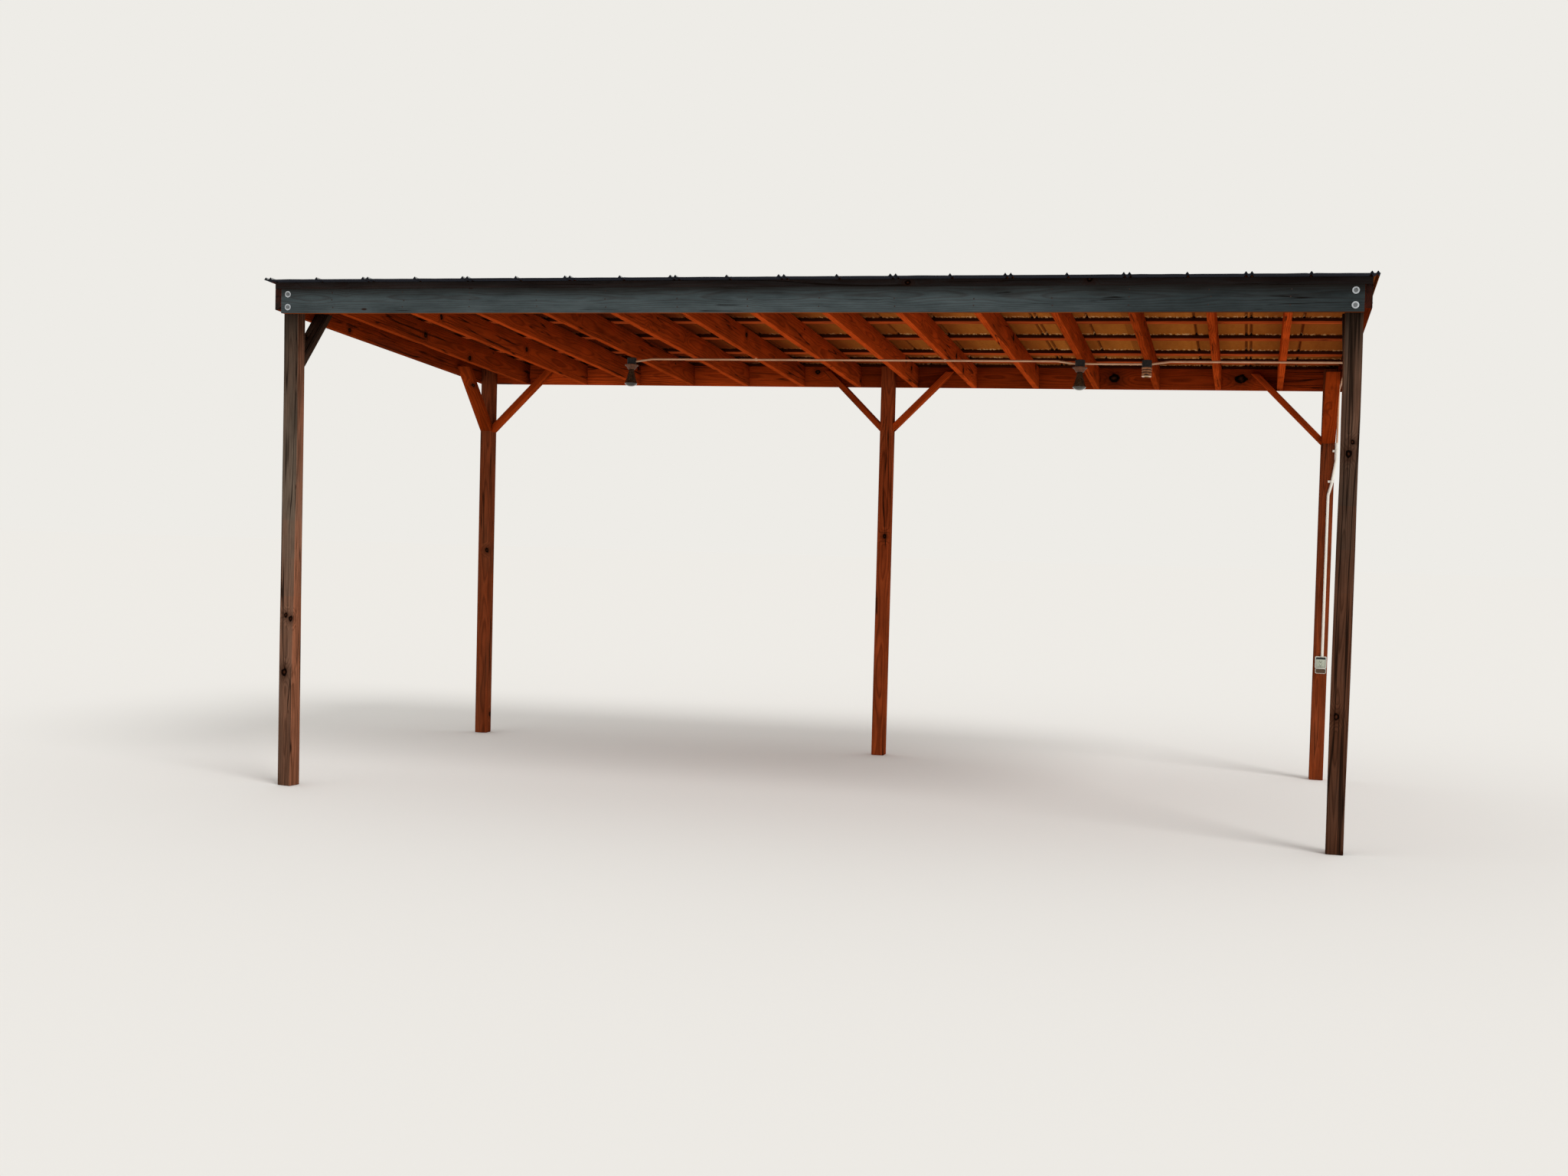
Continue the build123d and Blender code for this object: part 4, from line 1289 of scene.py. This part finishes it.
# %% Outlet cover
LID_WIDTH, LID_LONGEST = 68, 42
hinge = base + (OUT * FLANGE_OUT - RISE * 40) * MM
tip = Vector((base.x, outlet_low.y, outlet_low.z))
along_lid = (tip - hinge).normalized()
lid_up = ACROSS.cross(along_lid)
lid_up = lid_up if lid_up.z > 0 else -lid_up
lid = min((tip - hinge).length / MM, LID_LONGEST)
on_hinge = (hinge, ACROSS, along_lid, lid_up)
stacked("outlet_cover", on_hinge, cast, (LID_WIDTH, lid), (
    (-4, 6, 0), (0, 8, 1.5), (0, 8, 7), (-2, 7, 7.6), (-5, 6, 7), (-6, 6, 2.4)), (0, lid / 2))
# the inside pad is painted shade
stacked("outlet_cover_inside", on_hinge, shaded_cast, (LID_WIDTH, lid),
        ((-7, 6, 2.2), (-7, 6, 3)), (0, lid / 2))
pin = turned([(0, -26), (3, -26), (3.4, -25), (3.4, 25), (3, 26), (0, 26)], 20)
stamped("outlet_hinge", pin, [(hinge + Vector((0, -1 * MM, 2 * MM)), facing(ACROSS))], cast)
screw_head = turned([(0, 0), (2.6, 0), (2.6, 0.8), (1.8, 1.5), (0, 1.7)], 20)
stamped("outlet_screws", screw_head,
        [(base + (OUT * FLANGE_OUT + RISE * z) * MM, facing(OUT)) for z in (-36, 36)], head_zinc)
print("outlet cover", LID_WIDTH, "by", round(lid, 1), "mm")

# %% [markdown]
# ## Floor
#
# The floor is no part of the carport. It could have a texture of its own, but a plain pale one
# shows the shadow and leaves the finishes as they are.

# %% Floor
SPAN = 60.0
floor_mesh = bpy.data.meshes.new("floor")
floor_mesh.from_pydata([(-SPAN, -SPAN, 0), (SPAN, -SPAN, 0), (SPAN, SPAN, 0), (-SPAN, SPAN, 0)],
                       [], [(0, 1, 2, 3)])
floor = bpy.data.objects.new("floor", floor_mesh)
bpy.context.scene.collection.objects.link(floor)
pale, pale_tree, pale_shader = start_material("pale_studio_floor")
pale_shader.inputs["Base Color"].default_value = linear("#e9e7e3")
pale_shader.inputs["Roughness"].default_value = 1.0
pale_shader.inputs["Specular IOR Level"].default_value = 0.0
floor_mesh.materials.append(pale)
print("floor", 2 * SPAN, "m wide")

# %% [markdown]
# ## Light
#
# A carport stands in soft daylight. Area lamps would need placing for every view, so the light is a
# pale room all round and one broad sun from the front right, at a level where a colour renders
# about as it is written. Camera, glossy and transmission rays see a plain wall instead of the room,
# so the picture has a clean background and metal reflects it.

# %% Light
ROOM_LEVEL, SUN_LEVEL, SUN_WIDTH = 0.84, 1.25, 24
world = bpy.data.worlds.new("soft_room")
world.use_nodes = True
sky_tree = world.node_tree
room = sky_tree.nodes["Background"]
room.inputs["Color"].default_value = linear("#f7f6f4")
room.inputs["Strength"].default_value = ROOM_LEVEL
wall = add(sky_tree, "Background", ("#eeece7", 1.0))
rays = add(sky_tree, "LightPath").node.outputs
shown = rays["Is Camera Ray"]
for ray in ("Is Glossy Ray", "Is Transmission Ray"):
    shown = add(sky_tree, "Math", (shown, rays[ray]), operation="MAXIMUM")
seen = add(sky_tree, "MixShader", (shown, room.outputs[0], wall))
sky_tree.links.new(seen, sky_tree.nodes["World Output"].inputs["Surface"])
bpy.context.scene.world = world
sun = bpy.data.lights.new("soft_key", "SUN")
sun.energy = SUN_LEVEL
sun.angle = math.radians(SUN_WIDTH)
key = bpy.data.objects.new("soft_key", sun)
key.rotation_euler = Vector((-0.62, 0.5, -0.75)).to_track_quat("-Z", "Y").to_euler()
bpy.context.scene.collection.objects.link(key)
print("room at", ROOM_LEVEL, "and sun at", SUN_LEVEL)

# %% [markdown]
# ## Camera
#
# The camera stands where the photograph was taken from: about 10 m in front of the header and
# 2.5 m right of the middle, turned to the left and tipped slightly down. A tracking constraint
# could aim it at the carport, but the measured turn, dip and roll say exactly how it was held, and
# put each post within a pixel or two of its place.

# %% Camera
CAMERA_PLACE = Vector((2.4976, -11.3938, 1.6832))
LENS, SENSOR = 42.94, 36.0
YAW, PITCH, ROLL = (math.radians(a) for a in (13.9827, 2.3373, 1.4461))
ahead = Vector((-math.sin(YAW) * math.cos(PITCH), math.cos(YAW) * math.cos(PITCH),
                -math.sin(PITCH)))
level = Vector((math.cos(YAW), math.sin(YAW), 0))
upright = level.cross(ahead)
right = math.cos(ROLL) * level + math.sin(ROLL) * upright
above = math.cos(ROLL) * upright - math.sin(ROLL) * level
camera_data = bpy.data.cameras.new("camera")
camera_data.sensor_width = SENSOR
camera_data.lens = LENS
camera = bpy.data.objects.new("camera", camera_data)
camera.matrix_world = Matrix.Translation(CAMERA_PLACE) @ Matrix(
    (right, above, -ahead)).transposed().to_4x4()
bpy.context.scene.collection.objects.link(camera)
bpy.context.scene.camera = camera
bpy.context.scene.view_settings.view_transform = "Standard"
print("camera", round(CAMERA_PLACE.z, 2), "m above the floor, lens", LENS, "mm")
